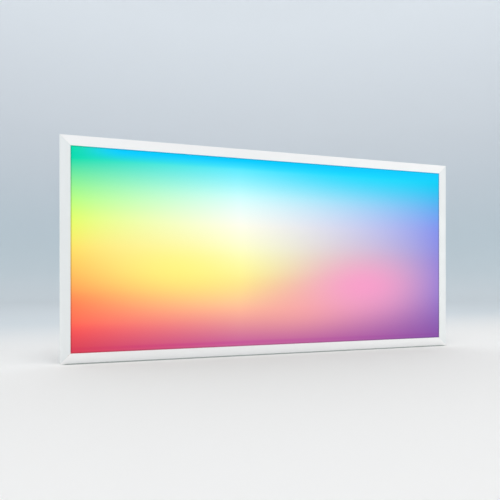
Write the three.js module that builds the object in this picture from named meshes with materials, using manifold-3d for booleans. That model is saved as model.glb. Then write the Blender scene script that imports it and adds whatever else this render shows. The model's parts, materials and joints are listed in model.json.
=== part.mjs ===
// An edge-lit colour LED panel: a mitred aluminium frame round a diffuser, a light guide and its
// backing, a sheet-steel back, four swing-out grid clips, and a driver box with a wiring door.
//
// Millimetres. X runs along the long side, Z is up the short side, and the lit face looks along -Y.
// The origin is under the middle of the bounding box, on the edge that the panel stands on.
// Inside the panel group, y is the distance behind the front face. "inset" is the distance in from
// the panel's outer edge. Inside the driver group, y is the distance behind the tray's own floor.
import * as THREE from "three";
import { mergeVertices } from "three/addons/utils/BufferGeometryUtils.js";
import Module from "manifold-3d";

// ---- Driving sizes ---------------------------------------------------------------------------

const GAP = 0.3; // clearance between neighbouring pieces
const CUT_MARGIN = 1; // how far a cutting tool runs past the surface it opens

const PANEL_WIDTH = 1195;
const PANEL_HEIGHT = 595;

// frame extrusion
const BEZEL_WIDTH = 26.5;
const BEZEL_SHEET = 1.2;
const BEZEL_CHAMFER = 0.6;
const OUTER_ROUND = 1;
const OUTER_WALL = 1.5;
const CHAMBER_WIDTH = 12.5;
const WEB_THICKNESS = 1.5;
const REAR_FLANGE = 1.2;
const REAR_RIM = 0.4; // how far the outer wall stands behind the back plate
const KEY_LEG = 55;
const KEY_NOSE = 2;

// optical stack
const DIFFUSER_THICKNESS = 1.5;
const GUIDE_THICKNESS = 3;
const REFLECTOR_THICKNESS = 0.3;
const FOAM_THICKNESS = 2.6;
const LED_BOARD_THICKNESS = 1;
const LED_BOARD_WIDTH = 5;
const LED_BOARD_END = 22; // inset of each end of a light strip
const LED_LENGTH = 3.5;
const LED_WIDTH = 2.6;
const LED_HEIGHT = 0.8;
const LED_PITCH = 32;
const LED_TO_GUIDE = 0.5;

// back plate
const PLATE_THICKNESS = 0.5;
const RIB_WIDTH = 16;
const RIB_HEIGHT = 2.4;
const RIB_SLOPE = 3;
const RIB_OFFSET = 150; // height of each rib row above or below the middle
const RIB_EDGE_INSET = 90;
const RIB_TO_DRIVER = 60;

// screws
const SCREW_RADIUS = 1.5;
const SCREW_HEAD_RADIUS = 3;
const SCREW_HEAD_HEIGHT = 1.8;
const SCREW_HEAD_BEVEL = 0.7;
const SCREW_REACH = 6; // how far the shank goes in below the sheet that its head holds
const SCREW_INSET = 200; // along the long sides, from the corner

// grid clips and their rivets
const CLIP_LENGTH = 44;
const CLIP_WIDTH = 13;
const CLIP_SHEET = 1.2;
const CLIP_TAB = 8;
const CLIP_INSET = 130; // along the short sides, from the corner
const RIVET_RADIUS = 2;
const RIVET_HEAD_RADIUS = 4.2;
const RIVET_HEAD_HEIGHT = 1.3;
const RIVET_TAIL_RADIUS = 3;
const RIVET_TAIL_HEIGHT = 1;

// driver box
const DRIVER_LENGTH = 300;
const DRIVER_HEIGHT = 96;
const DRIVER_DEPTH = 30;
const DRIVER_SHEET = 1;
const DRIVER_CENTRE_Z = 300;
const WIRING_LENGTH = 94; // of the driver box's length
const COVER_SKIRT = 6;
const VENT_COUNT = 9;
const VENT_WIDTH = 3;
const VENT_LENGTH = 30;
const VENT_PITCH = 9;
const BOSS_RADIUS = 3.5;
const BOSS_INSET = 6;
const STANDOFF_RADIUS = 2.5;
const STANDOFF_HEIGHT = 5;
const STANDOFF_INSET = 8;
const DIVIDER_FOOT = 9;
const DIVIDER_WIRE_RADIUS = 5;

// wiring door and its hinge
const PIN_RADIUS = 1.1;
const PIN_HEAD_RADIUS = 2;
const PIN_HEAD_LENGTH = 1.2;
const KNUCKLE_RADIUS = 2.6;
const EAR_THICKNESS = 3;
const EAR_INSET = 4;
const DOOR_LIP = 4;

// openings in the wiring compartment
const BUSHING_BORE = 5.5;
const BUSHING_BARREL = 8;
const BUSHING_FLANGE = 11;
const BUSHING_SNAP = 9.2;
const BUSHING_FLANGE_THICKNESS = 2;
const BUSHING_SNAP_THICKNESS = 1.5;
const KNOCKOUT_MARGIN = 2; // beside the plug's flange, to the tray's floor and to the door's lip
const KNOCKOUT_LEDGE = 2;
const KNOCKOUT_THICKNESS = 1.2;

// circuit board and what stands on it
const BOARD_THICKNESS = 1.6;
const BOARD_MARGIN = 6;
const TRANSFORMER_LENGTH = 26;
const TRANSFORMER_WIDTH = 22;
const TRANSFORMER_LEG = 4;
const CAPACITOR_RADIUS = 8;
const CHOKE_WIRE_RADIUS = 2.6;
const COVER_HEADROOM = 3; // between the tallest components and the cover
const HEAT_SINK_LENGTH = 44;
const HEAT_SINK_HEIGHT = 16;
const HEAT_SINK_BASE = 3;
const HEAT_SINK_FINS = 5;
const HEAT_SINK_FIN = 1.4;
const HEAT_SINK_PITCH = 4;
const FUSE_LENGTH = 20;
const FUSE_RADIUS = 2.6;
const FUSE_CAP_RADIUS = 3.1;
const FUSE_CAP_LENGTH = 5;
const RADIO_LENGTH = 24;
const RADIO_WIDTH = 16;
const RADIO_BOARD = 1;
const RADIO_CAN_HEIGHT = 2;
const RADIO_CAN_MARGIN = 2;
const RADIO_AERIAL = 6;
const TERMINAL_WAYS = 2;
const TERMINAL_PITCH = 8;
const TERMINAL_DEPTH = 14;
const TERMINAL_HEIGHT = 11;
const TERMINAL_HOLE_RADIUS = 1.8;

// where each component stands: along X from one end of the board, and its z
const BOARD_LAYOUT = {
  transformer: { fromEnd: 90, z: 0 },
  bulk_capacitor: { fromEnd: 58, z: 18 },
  filter_choke: { fromEnd: 34, z: 20 },
  heat_sink: { fromEnd: 60, z: -30 },
  fuse: { fromEnd: 32, z: 4 },
  radio_module: { fromStart: 7, z: -6 },
  output_terminal: { fromStart: 14, z: -31 },
};

// lever terminals for the supply wires
const LEVER_WAYS = 3;
const LEVER_PITCH = 11;
const LEVER_WIDTH = 8;
const LEVER_HEADROOM = 4.4; // between an open lever and the closed door
const LEVER_THICKNESS = 1.6;
const LEVER_BARREL_RADIUS = 2;
const LEVER_PIVOT_RADIUS = 0.9;
const LEVER_PIVOT_LENGTH = 0.8;
const LEVER_PIVOT_INSET = 6; // from the block's end
const LEVER_BAY_MARGIN = 2; // wall at the block's end, and room either side of a barrel
const LEVER_CHEEK_MARGIN = 1;
const LEVER_BLOCK_LENGTH = 24;
const LEVER_BLOCK_HEIGHT = 9;
const LEVER_WIRE_RADIUS = 2;

// push button and slide selectors in the end wall
const BUTTON_RADIUS = 3;
const BUTTON_FLANGE = 4.5;
const BUTTON_FLANGE_THICKNESS = 1;
const BUTTON_OUT = 2;
const BUTTON_STEM_RADIUS = 1.8;
const BUTTON_STEM_LENGTH = 2.5;
const BUTTON_TRAVEL = 1;
const BUTTON_TO_BOSS = 8; // between the switch behind the button and the nearest screw boss
const CONTROL_Y = 13; // height of the button and selectors above the tray's floor
const TACT_LENGTH = 6;
const TACT_WIDTH = 8;
const SLIDER_COUNT = 2;
const SLIDER_PITCH = 15;
const SLIDER_FROM_END = 18; // the lowest slider above the tray's lower face
const SLIDER_TRAVEL = 4;
const SLIDER_NUB_LENGTH = 3;
const SLIDER_NUB_HEIGHT = 3;
const SLIDER_OUT = 1.5;
const SLIDER_PLATE_THICKNESS = 1;
const SLIDER_PLATE_MARGIN = 2;
const SELECTOR_DEPTH = 9;
const SELECTOR_MARGIN = 2.5;

// leads from the light strips to the driver
const LEAD_RADIUS = 0.9;
const LEAD_SLOT = 4;
const LEAD_PORT_RADIUS = 4;
const LEAD_SPREAD = 24; // between the two leads, along X
const LEAD_CENTRE_X = -70;

// ---- Places worked out from the driving sizes --------------------------------------------------

const HALF_WIDTH = PANEL_WIDTH / 2;
const WEB_FRONT = OUTER_WALL + CHAMBER_WIDTH; // insets of the web that carries the light strips
const WEB_BACK = WEB_FRONT + WEB_THICKNESS;
const FIXING_INSET = OUTER_WALL + CHAMBER_WIDTH / 2;

const DIFFUSER_Y = BEZEL_SHEET + GAP;
const GUIDE_Y = DIFFUSER_Y + DIFFUSER_THICKNESS + GAP;
const REFLECTOR_Y = GUIDE_Y + GUIDE_THICKNESS + GAP;
const FOAM_Y = REFLECTOR_Y + REFLECTOR_THICKNESS + GAP;
const FOAM_BACK = FOAM_Y + FOAM_THICKNESS;
const PLATE_Y = FOAM_BACK + GAP;
const PLATE_BACK = PLATE_Y + PLATE_THICKNESS;
const FRAME_DEPTH = PLATE_BACK + REAR_RIM;
const FLANGE_BACK = PLATE_Y - GAP;
const FLANGE_FRONT = FLANGE_BACK - REAR_FLANGE;

const LEAD_SLEEVE = FOAM_THICKNESS - GAP; // the sleeve where a lead turns back

const LED_BOARD_INSET = WEB_BACK + GAP;
const LED_INSET = LED_BOARD_INSET + LED_BOARD_THICKNESS;
const GUIDE_INSET = LED_INSET + LED_HEIGHT + LED_TO_GUIDE;
const GUIDE_MIDDLE_Y = GUIDE_Y + GUIDE_THICKNESS / 2;

const CLIP_Y = FRAME_DEPTH + GAP;
const DRIVER_Y = PLATE_BACK + GAP;
const TOTAL_DEPTH = DRIVER_Y + DRIVER_DEPTH + GAP + SCREW_HEAD_HEIGHT;

const BOX_X = DRIVER_LENGTH / 2;
const BOX_Z = DRIVER_HEIGHT / 2;
const LID_Y = DRIVER_DEPTH - DRIVER_SHEET; // underside of the cover and of the door
const WALL_TOP = LID_Y - GAP;
const DIVIDER_X = BOX_X - WIRING_LENGTH;
const COVER_END = DIVIDER_X + DRIVER_SHEET / 2;
const DOOR_START = COVER_END + GAP;
const HINGE_Y = DRIVER_DEPTH - KNUCKLE_RADIUS;
const HINGE_Z = BOX_Z + GAP + KNUCKLE_RADIUS;
const KNUCKLE_START = DOOR_START + EAR_INSET + EAR_THICKNESS + GAP;
const KNUCKLE_END = BOX_X - EAR_INSET - EAR_THICKNESS - GAP;
const WIRING_MIDDLE_X = (DIVIDER_X + BOX_X) / 2;
const KNOCKOUT_Y = (DRIVER_DEPTH - DOOR_LIP) / 2;
const KNOCKOUT_FLANGE = KNOCKOUT_Y - KNOCKOUT_MARGIN;
const KNOCKOUT_RADIUS = KNOCKOUT_FLANGE - KNOCKOUT_LEDGE;
const COMPARTMENT_MIDDLE_Y = (DRIVER_SHEET + WALL_TOP) / 2;

const BOARD_Y = DRIVER_SHEET + STANDOFF_HEIGHT;
const PARTS_Y = BOARD_Y + BOARD_THICKNESS + GAP; // where components stand
const BOARD_START = -BOX_X + BOARD_MARGIN;
const BOARD_END = DIVIDER_X - BOARD_MARGIN - DIVIDER_FOOT;
const BOARD_Z = BOX_Z - DRIVER_SHEET - BOARD_MARGIN;
const WALL_INSIDE = -BOX_X + DRIVER_SHEET; // inner face of the end wall that holds the controls
const BUTTON_FLANGE_X = WALL_INSIDE + GAP;
const TACT_X = BUTTON_FLANGE_X + BUTTON_FLANGE_THICKNESS + BUTTON_STEM_LENGTH + BUTTON_TRAVEL + GAP;
const BOSS_Z = BOX_Z - DRIVER_SHEET - BOSS_INSET - BOSS_RADIUS;
const BUTTON_Z = BOSS_Z - BOSS_RADIUS - BUTTON_TO_BOSS - TACT_WIDTH / 2;
const SLIDER_LOWEST_Z = SLIDER_FROM_END - BOX_Z;
const SELECTOR_X = WALL_INSIDE + GAP + SLIDER_PLATE_THICKNESS + GAP;
const LEVER_PIVOT_Y = LEVER_BLOCK_HEIGHT + GAP + LEVER_BARREL_RADIUS;
const LEVER_LENGTH = LID_Y - DRIVER_SHEET - GAP - LEVER_PIVOT_Y - LEVER_HEADROOM;
const LEVER_PIVOT_Z = LEVER_BLOCK_LENGTH / 2 - LEVER_PIVOT_INSET;
const HEADROOM = LID_Y - PARTS_Y - COVER_HEADROOM;
const CHOKE_RADIUS = HEADROOM / 2 - CHOKE_WIRE_RADIUS;

// ---- Solids ------------------------------------------------------------------------------------

const wasm = await Module();
wasm.setup();

/** A closed geometry as a solid that can be joined or cut. */
function solidOf(geometry) {
  const bare = geometry.clone();
  bare.deleteAttribute("normal");
  bare.deleteAttribute("uv");
  const merged = mergeVertices(bare, 1e-4);
  const corners = merged.index.array;
  const triangles = [];
  for (let i = 0; i < corners.length; i += 3) {
    const [a, b, c] = corners.slice(i, i + 3);
    if (a !== b && b !== c && c !== a) triangles.push(a, b, c);
  }
  return new wasm.Manifold(
    new wasm.Mesh({
      numProp: 3,
      vertProperties: merged.attributes.position.array,
      triVerts: new Uint32Array(triangles),
    }),
  );
}

function geometryOf(solid) {
  const { vertProperties, triVerts } = solid.getMesh();
  const geometry = new THREE.BufferGeometry();
  geometry.setAttribute("position", new THREE.BufferAttribute(vertProperties, 3));
  geometry.setIndex(new THREE.BufferAttribute(triVerts, 1));
  geometry.computeVertexNormals();
  return geometry;
}

function join(...pieces) {
  return geometryOf(pieces.map(solidOf).reduce((whole, piece) => whole.add(piece)));
}

function cut(body, ...tools) {
  return geometryOf(tools.map(solidOf).reduce((rest, tool) => rest.subtract(tool), solidOf(body)));
}

// ---- Shapes ------------------------------------------------------------------------------------

/** A block between two values on each axis. */
function block([x0, x1], [y0, y1], [z0, z1]) {
  const geometry = new THREE.BoxGeometry(x1 - x0, y1 - y0, z1 - z0);
  return geometry.translate((x0 + x1) / 2, (y0 + y1) / 2, (z0 + z1) / 2);
}

/** A round bar along one axis, from its start point. */
function bar(axis, radius, length, [x, y, z], sides = 16) {
  const geometry = new THREE.CylinderGeometry(radius, radius, length, sides);
  geometry.translate(0, length / 2, 0);
  if (axis === "x") geometry.rotateZ(-Math.PI / 2);
  if (axis === "z") geometry.rotateX(Math.PI / 2);
  return geometry.translate(x, y, z);
}

/** An outline drawn in X and Z, given thickness from y0 to y1. */
function sheet(shape, [y0, y1]) {
  const depth = y1 - y0;
  const geometry = new THREE.ExtrudeGeometry(shape, { depth, bevelEnabled: false, curveSegments: 8 });
  return geometry.rotateX(Math.PI / 2).translate(0, y1, 0);
}

function outline(points) {
  return new THREE.Shape(points.map(([x, z]) => new THREE.Vector2(x, z)));
}

/** A profile of [radius, y] points turned about the Y axis. */
function turned(points, sides = 12) {
  return new THREE.LatheGeometry(points.map(([r, y]) => new THREE.Vector2(r, y)), sides);
}

// ---- Materials ---------------------------------------------------------------------------------

function finish(color, roughness, metalness = 0) {
  return new THREE.MeshStandardMaterial({ color, roughness, metalness });
}

const finishes = {
  whitePaint: finish(0xf2f4f4, 0.45),
  bareAluminium: finish(0xb8bcc0, 0.35, 1),
  diffuser: finish(0xfdf6e0, 0.5),
  clearAcrylic: finish(0xf4fbff, 0.1),
  whiteFilm: finish(0xfafafa, 0.4),
  foam: finish(0xe6e6e2, 0.95),
  zincSteel: finish(0xa9adb0, 0.4, 1),
  greenBoard: finish(0x1f5a36, 0.5),
  whiteBoard: finish(0xf0f0ea, 0.5),
  blackPlastic: finish(0x1d1e20, 0.5),
  greyPlastic: finish(0x8f9396, 0.55),
  orangePlastic: finish(0xd9711c, 0.45),
  yellowTape: finish(0xd8b23a, 0.5),
  rubber: finish(0x3a3b3d, 0.8),
};

function piece(name, geometry, material, position = [0, 0, 0], turn = 0) {
  const mesh = new THREE.Mesh(geometry, material);
  mesh.name = name;
  mesh.position.set(...position);
  mesh.rotation.y = turn;
  return mesh;
}

// ---- Frame -------------------------------------------------------------------------------------

/** The extrusion's section: x is the inset, y the distance behind the front face. */
function frameSection() {
  const shape = new THREE.Shape();
  shape.moveTo(0, FRAME_DEPTH);
  shape.lineTo(0, OUTER_ROUND);
  shape.absarc(OUTER_ROUND, OUTER_ROUND, OUTER_ROUND, Math.PI, 1.5 * Math.PI);
  shape.lineTo(BEZEL_WIDTH - BEZEL_CHAMFER, 0);
  shape.lineTo(BEZEL_WIDTH, BEZEL_CHAMFER);
  shape.lineTo(BEZEL_WIDTH, BEZEL_SHEET);
  shape.lineTo(WEB_BACK, BEZEL_SHEET);
  shape.lineTo(WEB_BACK, FLANGE_BACK);
  shape.lineTo(OUTER_WALL, FLANGE_BACK);
  shape.lineTo(OUTER_WALL, FRAME_DEPTH);
  shape.closePath();
  const chamber = new THREE.Path();
  chamber.moveTo(OUTER_WALL, BEZEL_SHEET);
  chamber.lineTo(WEB_FRONT, BEZEL_SHEET);
  chamber.lineTo(WEB_FRONT, FLANGE_FRONT);
  chamber.lineTo(OUTER_WALL, FLANGE_FRONT);
  chamber.closePath();
  shape.holes.push(chamber);
  return shape;
}

/** One frame bar along Z, mitred at both ends, with fixing holes through its rear flange. */
function frameBar(length, holes) {
  const bare = new THREE.ExtrudeGeometry(frameSection(), {
    depth: length,
    bevelEnabled: false,
    curveSegments: 3,
  });
  const points = bare.attributes.position;
  for (let i = 0; i < points.count; i += 1) {
    const mitre = points.getX(i) + GAP / 2;
    points.setZ(i, points.getZ(i) > length / 2 ? length - mitre : mitre);
  }
  const depth = REAR_FLANGE + 2 * GAP;
  const drills = holes.map(({ at, radius }) =>
    bar("y", radius, depth, [FIXING_INSET, FLANGE_FRONT - GAP, at], 10),
  );
  return cut(bare, ...drills);
}

function placedBar(name, geometry, corner, inward) {
  const mesh = piece(name, geometry, finishes.whitePaint, corner);
  const back = new THREE.Vector3(0, 1, 0);
  const along = new THREE.Vector3().crossVectors(inward, back);
  mesh.quaternion.setFromRotationMatrix(new THREE.Matrix4().makeBasis(inward, back, along));
  return mesh;
}

const SCREW_HOLE = SCREW_RADIUS + GAP;
const RIVET_HOLE = RIVET_RADIUS + GAP;

function frame() {
  const longHoles = [SCREW_INSET, PANEL_WIDTH / 2, PANEL_WIDTH - SCREW_INSET];
  const longBar = frameBar(PANEL_WIDTH, longHoles.map((at) => ({ at, radius: SCREW_HOLE })));
  const shortBar = frameBar(PANEL_HEIGHT, [
    { at: CLIP_INSET, radius: RIVET_HOLE },
    { at: PANEL_HEIGHT / 2, radius: SCREW_HOLE },
    { at: PANEL_HEIGHT - CLIP_INSET, radius: RIVET_HOLE },
  ]);
  const x = new THREE.Vector3(1, 0, 0);
  const z = new THREE.Vector3(0, 0, 1);
  return [
    placedBar("frame_bottom", longBar, [HALF_WIDTH, 0, 0], z),
    placedBar("frame_top", longBar, [-HALF_WIDTH, 0, PANEL_HEIGHT], z.clone().negate()),
    placedBar("frame_left", shortBar, [-HALF_WIDTH, 0, 0], x),
    placedBar("frame_right", shortBar, [HALF_WIDTH, 0, PANEL_HEIGHT], x.clone().negate()),
  ];
}

/** The L that holds two frame bars together, inside their hollow chambers. */
function cornerKeys() {
  const near = OUTER_WALL + GAP;
  const far = WEB_FRONT - GAP;
  const shape = outline([
    [near, near],
    [KEY_LEG - KEY_NOSE, near],
    [KEY_LEG, near + KEY_NOSE],
    [KEY_LEG, far - KEY_NOSE],
    [KEY_LEG - KEY_NOSE, far],
    [far, far],
    [far, KEY_LEG - KEY_NOSE],
    [far - KEY_NOSE, KEY_LEG],
    [near + KEY_NOSE, KEY_LEG],
    [near, KEY_LEG - KEY_NOSE],
  ]);
  const key = sheet(shape, [BEZEL_SHEET + GAP, FLANGE_FRONT - GAP]);
  const corners = {
    bottom_left: [-HALF_WIDTH, 0, 0],
    bottom_right: [HALF_WIDTH, 0, -Math.PI / 2],
    top_right: [HALF_WIDTH, PANEL_HEIGHT, Math.PI],
    top_left: [-HALF_WIDTH, PANEL_HEIGHT, Math.PI / 2],
  };
  return Object.entries(corners).map(([corner, [x, z, turn]]) =>
    piece(`corner_key_${corner}`, key, finishes.bareAluminium, [x, 0, z], turn),
  );
}

// ---- Optical stack -----------------------------------------------------------------------------

/** A sheet that stops the same inset short of all four edges. */
function insetSheet(inset, y0, y1) {
  return block([inset - HALF_WIDTH, HALF_WIDTH - inset], [y0, y1], [inset, PANEL_HEIGHT - inset]);
}

const leads = [
  { side: "top", x: LEAD_CENTRE_X - LEAD_SPREAD / 2, up: 1 },
  { side: "bottom", x: LEAD_CENTRE_X + LEAD_SPREAD / 2, up: -1 },
];

/** The hole that one lead goes through, from a y to a y in the panel group. */
function leadPort({ x }, [y0, y1]) {
  return bar("y", LEAD_PORT_RADIUS, y1 - y0, [x, y0, DRIVER_CENTRE_Z], 12);
}

function foamPad() {
  const slots = leads.map(({ x, up }) => {
    const edge = up > 0 ? PANEL_HEIGHT : 0;
    const end = DRIVER_CENTRE_Z - up * LEAD_PORT_RADIUS;
    const span = [Math.min(edge, end), Math.max(edge, end)];
    return block([x - LEAD_SLOT / 2, x + LEAD_SLOT / 2], [FOAM_Y - GAP, FOAM_BACK + GAP], span);
  });
  const ports = leads.map((lead) => leadPort(lead, [FOAM_Y - GAP, FOAM_BACK + GAP]));
  return cut(insetSheet(GUIDE_INSET, FOAM_Y, FOAM_BACK), ...slots, ...ports);
}

function opticalStack() {
  const diffuser = insetSheet(WEB_BACK + GAP, DIFFUSER_Y, DIFFUSER_Y + DIFFUSER_THICKNESS);
  const guide = insetSheet(GUIDE_INSET, GUIDE_Y, GUIDE_Y + GUIDE_THICKNESS);
  const reflector = insetSheet(GUIDE_INSET, REFLECTOR_Y, REFLECTOR_Y + REFLECTOR_THICKNESS);
  return [
    piece("diffuser_plate", diffuser, finishes.diffuser),
    piece("light_guide_plate", guide, finishes.clearAcrylic),
    piece("reflector_sheet", reflector, finishes.whiteFilm),
    piece("foam_pad", foamPad(), finishes.foam),
  ];
}

/** A light strip lying along X, its lamps looking along +Z from the board's face at z = 0. */
function ledBoard() {
  const half = HALF_WIDTH - LED_BOARD_END;
  const board = block([-half, half], [GUIDE_Y, GUIDE_Y + LED_BOARD_WIDTH], [-LED_BOARD_THICKNESS, 0]);
  const count = Math.floor((2 * half - LED_LENGTH) / LED_PITCH) + 1;
  const first = (-(count - 1) * LED_PITCH) / 2;
  const lamps = Array.from({ length: count }, (_, i) => {
    const x = first + i * LED_PITCH;
    return block(
      [x - LED_LENGTH / 2, x + LED_LENGTH / 2],
      [GUIDE_MIDDLE_Y - LED_WIDTH / 2, GUIDE_MIDDLE_Y + LED_WIDTH / 2],
      [-LED_BOARD_THICKNESS / 2, LED_HEIGHT],
    );
  });
  return join(board, ...lamps);
}

function lightStrips() {
  const geometry = ledBoard();
  const top = piece("led_board_top", geometry, finishes.whiteBoard, [0, 0, PANEL_HEIGHT - LED_INSET]);
  top.scale.z = -1;
  return [piece("led_board_bottom", geometry, finishes.whiteBoard, [0, 0, LED_INSET]), top];
}

/** The strips of rubber that centre the light guide between the short sides. */
function edgeBumpers() {
  const outer = HALF_WIDTH - WEB_BACK - GAP;
  const inner = HALF_WIDTH - GUIDE_INSET + GAP;
  const length = [GUIDE_INSET, PANEL_HEIGHT - GUIDE_INSET];
  const depth = [GUIDE_Y, GUIDE_Y + GUIDE_THICKNESS];
  return [
    piece("edge_bumper_left", block([-outer, -inner], depth, length), finishes.rubber),
    piece("edge_bumper_right", block([inner, outer], depth, length), finishes.rubber),
  ];
}

/** Each light strip's lead: along a slot in the foam, then back through its port to the driver. */
function ledLeads() {
  const y = (FOAM_Y + FOAM_BACK) / 2;
  const half = LEAD_SLEEVE / 2;
  return leads.map(({ side, x, up }) => {
    const edge = up > 0 ? PANEL_HEIGHT - LED_INSET - GAP : LED_INSET + GAP;
    const length = Math.abs(edge - DRIVER_CENTRE_Z);
    const along = bar("z", LEAD_RADIUS, length, [x, y, Math.min(edge, DRIVER_CENTRE_Z)], 8);
    const back = bar("y", LEAD_RADIUS, DRIVER_Y + BOARD_Y - GAP - y, [x, y, DRIVER_CENTRE_Z], 8);
    const sleeve = block(
      [x - half, x + half],
      [y - half, y + half],
      [DRIVER_CENTRE_Z - half, DRIVER_CENTRE_Z + half],
    );
    return piece(`led_lead_${side}`, join(along, back, sleeve), finishes.rubber);
  });
}

// ---- Back plate --------------------------------------------------------------------------------

/** A pressed rib's outline shrunk by a margin, drawn as a bar with bevelled sides behind y. */
function rib([x0, x1], z, y) {
  const half = RIB_WIDTH / 2;
  const section = new THREE.Shape();
  section.moveTo(-half, y - PLATE_THICKNESS);
  section.lineTo(half, y - PLATE_THICKNESS);
  section.lineTo(half, y);
  section.lineTo(half - RIB_SLOPE, y + RIB_HEIGHT);
  section.lineTo(RIB_SLOPE - half, y + RIB_HEIGHT);
  section.lineTo(-half, y);
  section.closePath();
  const length = x1 - x0;
  const geometry = new THREE.ExtrudeGeometry(section, { depth: length, bevelEnabled: false });
  const points = geometry.attributes.position;
  for (let i = 0; i < points.count; i += 1) {
    if (points.getY(i) > y) {
      points.setZ(i, points.getZ(i) > length / 2 ? length - RIB_SLOPE : RIB_SLOPE);
    }
  }
  return geometry.rotateY(Math.PI / 2).translate(x0, 0, z);
}

const screwSpots = [
  [SCREW_INSET - HALF_WIDTH, FIXING_INSET],
  [0, FIXING_INSET],
  [HALF_WIDTH - SCREW_INSET, FIXING_INSET],
  [HALF_WIDTH - FIXING_INSET, PANEL_HEIGHT / 2],
  [HALF_WIDTH - SCREW_INSET, PANEL_HEIGHT - FIXING_INSET],
  [0, PANEL_HEIGHT - FIXING_INSET],
  [SCREW_INSET - HALF_WIDTH, PANEL_HEIGHT - FIXING_INSET],
  [FIXING_INSET - HALF_WIDTH, PANEL_HEIGHT / 2],
];

const clipSpots = {
  lower_left: { x: FIXING_INSET - HALF_WIDTH, z: CLIP_INSET, up: 1 },
  upper_left: { x: FIXING_INSET - HALF_WIDTH, z: PANEL_HEIGHT - CLIP_INSET, up: -1 },
  lower_right: { x: HALF_WIDTH - FIXING_INSET, z: CLIP_INSET, up: 1 },
  upper_right: { x: HALF_WIDTH - FIXING_INSET, z: PANEL_HEIGHT - CLIP_INSET, up: -1 },
};

function plateHole(radius, [x, z]) {
  return bar("y", radius, PLATE_THICKNESS + 2 * CUT_MARGIN, [x, PLATE_Y - CUT_MARGIN, z], 10);
}

function backPlate() {
  const plate = insetSheet(OUTER_WALL + GAP, PLATE_Y, PLATE_BACK);
  const inner = DRIVER_LENGTH / 2 + RIB_TO_DRIVER;
  const outer = HALF_WIDTH - RIB_EDGE_INSET;
  const raised = [];
  const hollows = [];
  for (const span of [[-outer, -inner], [inner, outer]]) {
    for (const offset of [-RIB_OFFSET, RIB_OFFSET]) {
      const z = PANEL_HEIGHT / 2 + offset;
      raised.push(rib(span, z, PLATE_BACK));
      hollows.push(rib([span[0] + PLATE_THICKNESS, span[1] - PLATE_THICKNESS], z, PLATE_Y));
    }
  }
  const holes = [
    ...screwSpots.map((spot) => plateHole(SCREW_HOLE, spot)),
    ...Object.values(clipSpots).map(({ x, z }) => plateHole(RIVET_HOLE, [x, z])),
    ...leads.map((lead) => leadPort(lead, [PLATE_Y - GAP, PLATE_BACK + GAP])),
  ];
  return piece("back_plate", cut(join(plate, ...raised), ...hollows, ...holes), finishes.whitePaint);
}

/** A pan-head screw along Y: its head's underside is at y = 0 and its shank goes towards -Y. */
function screw() {
  return turned([
    [0, -SCREW_REACH],
    [SCREW_RADIUS, -SCREW_REACH],
    [SCREW_RADIUS, 0],
    [SCREW_HEAD_RADIUS, 0],
    [SCREW_HEAD_RADIUS, SCREW_HEAD_HEIGHT - SCREW_HEAD_BEVEL],
    [SCREW_HEAD_RADIUS - SCREW_HEAD_BEVEL, SCREW_HEAD_HEIGHT],
    [0, SCREW_HEAD_HEIGHT],
  ]);
}

function plateScrews() {
  const geometry = screw();
  return screwSpots.map(([x, z], i) =>
    piece(`plate_screw_${i + 1}`, geometry, finishes.zincSteel, [x, PLATE_BACK + GAP, z]),
  );
}

// ---- Grid clips --------------------------------------------------------------------------------

/** A swing-out clip: pivot at the origin, arm along +Z, and a finger tab turned up at its end. */
function gridClip() {
  const half = CLIP_WIDTH / 2;
  const end = CLIP_LENGTH - half;
  const shape = new THREE.Shape();
  shape.absarc(0, 0, half, Math.PI, 2 * Math.PI);
  shape.lineTo(half, end);
  shape.lineTo(-half, end);
  shape.closePath();
  const arm = sheet(shape, [0, CLIP_SHEET]);
  const tab = block([-half, half], [0, CLIP_TAB], [end - CLIP_SHEET, end]);
  return cut(join(arm, tab), bar("y", RIVET_HOLE, CLIP_SHEET + 2 * GAP, [0, -GAP, 0]));
}

/** A blind rivet: its tail spreads inside the frame's chamber and its head keeps the clip on. */
function clipRivet() {
  const head = CLIP_Y + CLIP_SHEET + GAP;
  const tail = FLANGE_FRONT - GAP - RIVET_TAIL_HEIGHT;
  return turned([
    [0, tail],
    [RIVET_TAIL_RADIUS, tail],
    [RIVET_TAIL_RADIUS, tail + RIVET_TAIL_HEIGHT],
    [RIVET_RADIUS, tail + RIVET_TAIL_HEIGHT],
    [RIVET_RADIUS, head],
    [RIVET_HEAD_RADIUS, head],
    [RIVET_HEAD_RADIUS - RIVET_HEAD_HEIGHT / 2, head + RIVET_HEAD_HEIGHT],
    [0, head + RIVET_HEAD_HEIGHT],
  ]);
}

function gridClips() {
  const clip = gridClip();
  const rivet = clipRivet();
  return Object.entries(clipSpots).flatMap(([spot, { x, z, up }]) => [
    piece(`grid_clip_${spot}`, clip, finishes.zincSteel, [x, CLIP_Y, z], up > 0 ? 0 : Math.PI),
    piece(`clip_rivet_${spot}`, rivet, finishes.bareAluminium, [x, 0, z]),
  ]);
}

// ---- Driver box --------------------------------------------------------------------------------

const coverScrewSpots = [
  [WALL_INSIDE + BOSS_INSET + BOSS_RADIUS, BOSS_Z],
  [DIVIDER_X - DIVIDER_FOOT - BOSS_INSET, -BOSS_Z],
];

const standoffSpots = [-1, 1].flatMap((side) => [
  [BOARD_START + STANDOFF_INSET, side * (BOARD_Z - STANDOFF_INSET)],
  [BOARD_END - STANDOFF_INSET, side * (BOARD_Z - STANDOFF_INSET)],
]);

const sliderSpots = Array.from({ length: SLIDER_COUNT }, (_, i) => SLIDER_LOWEST_Z + i * SLIDER_PITCH);

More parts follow.
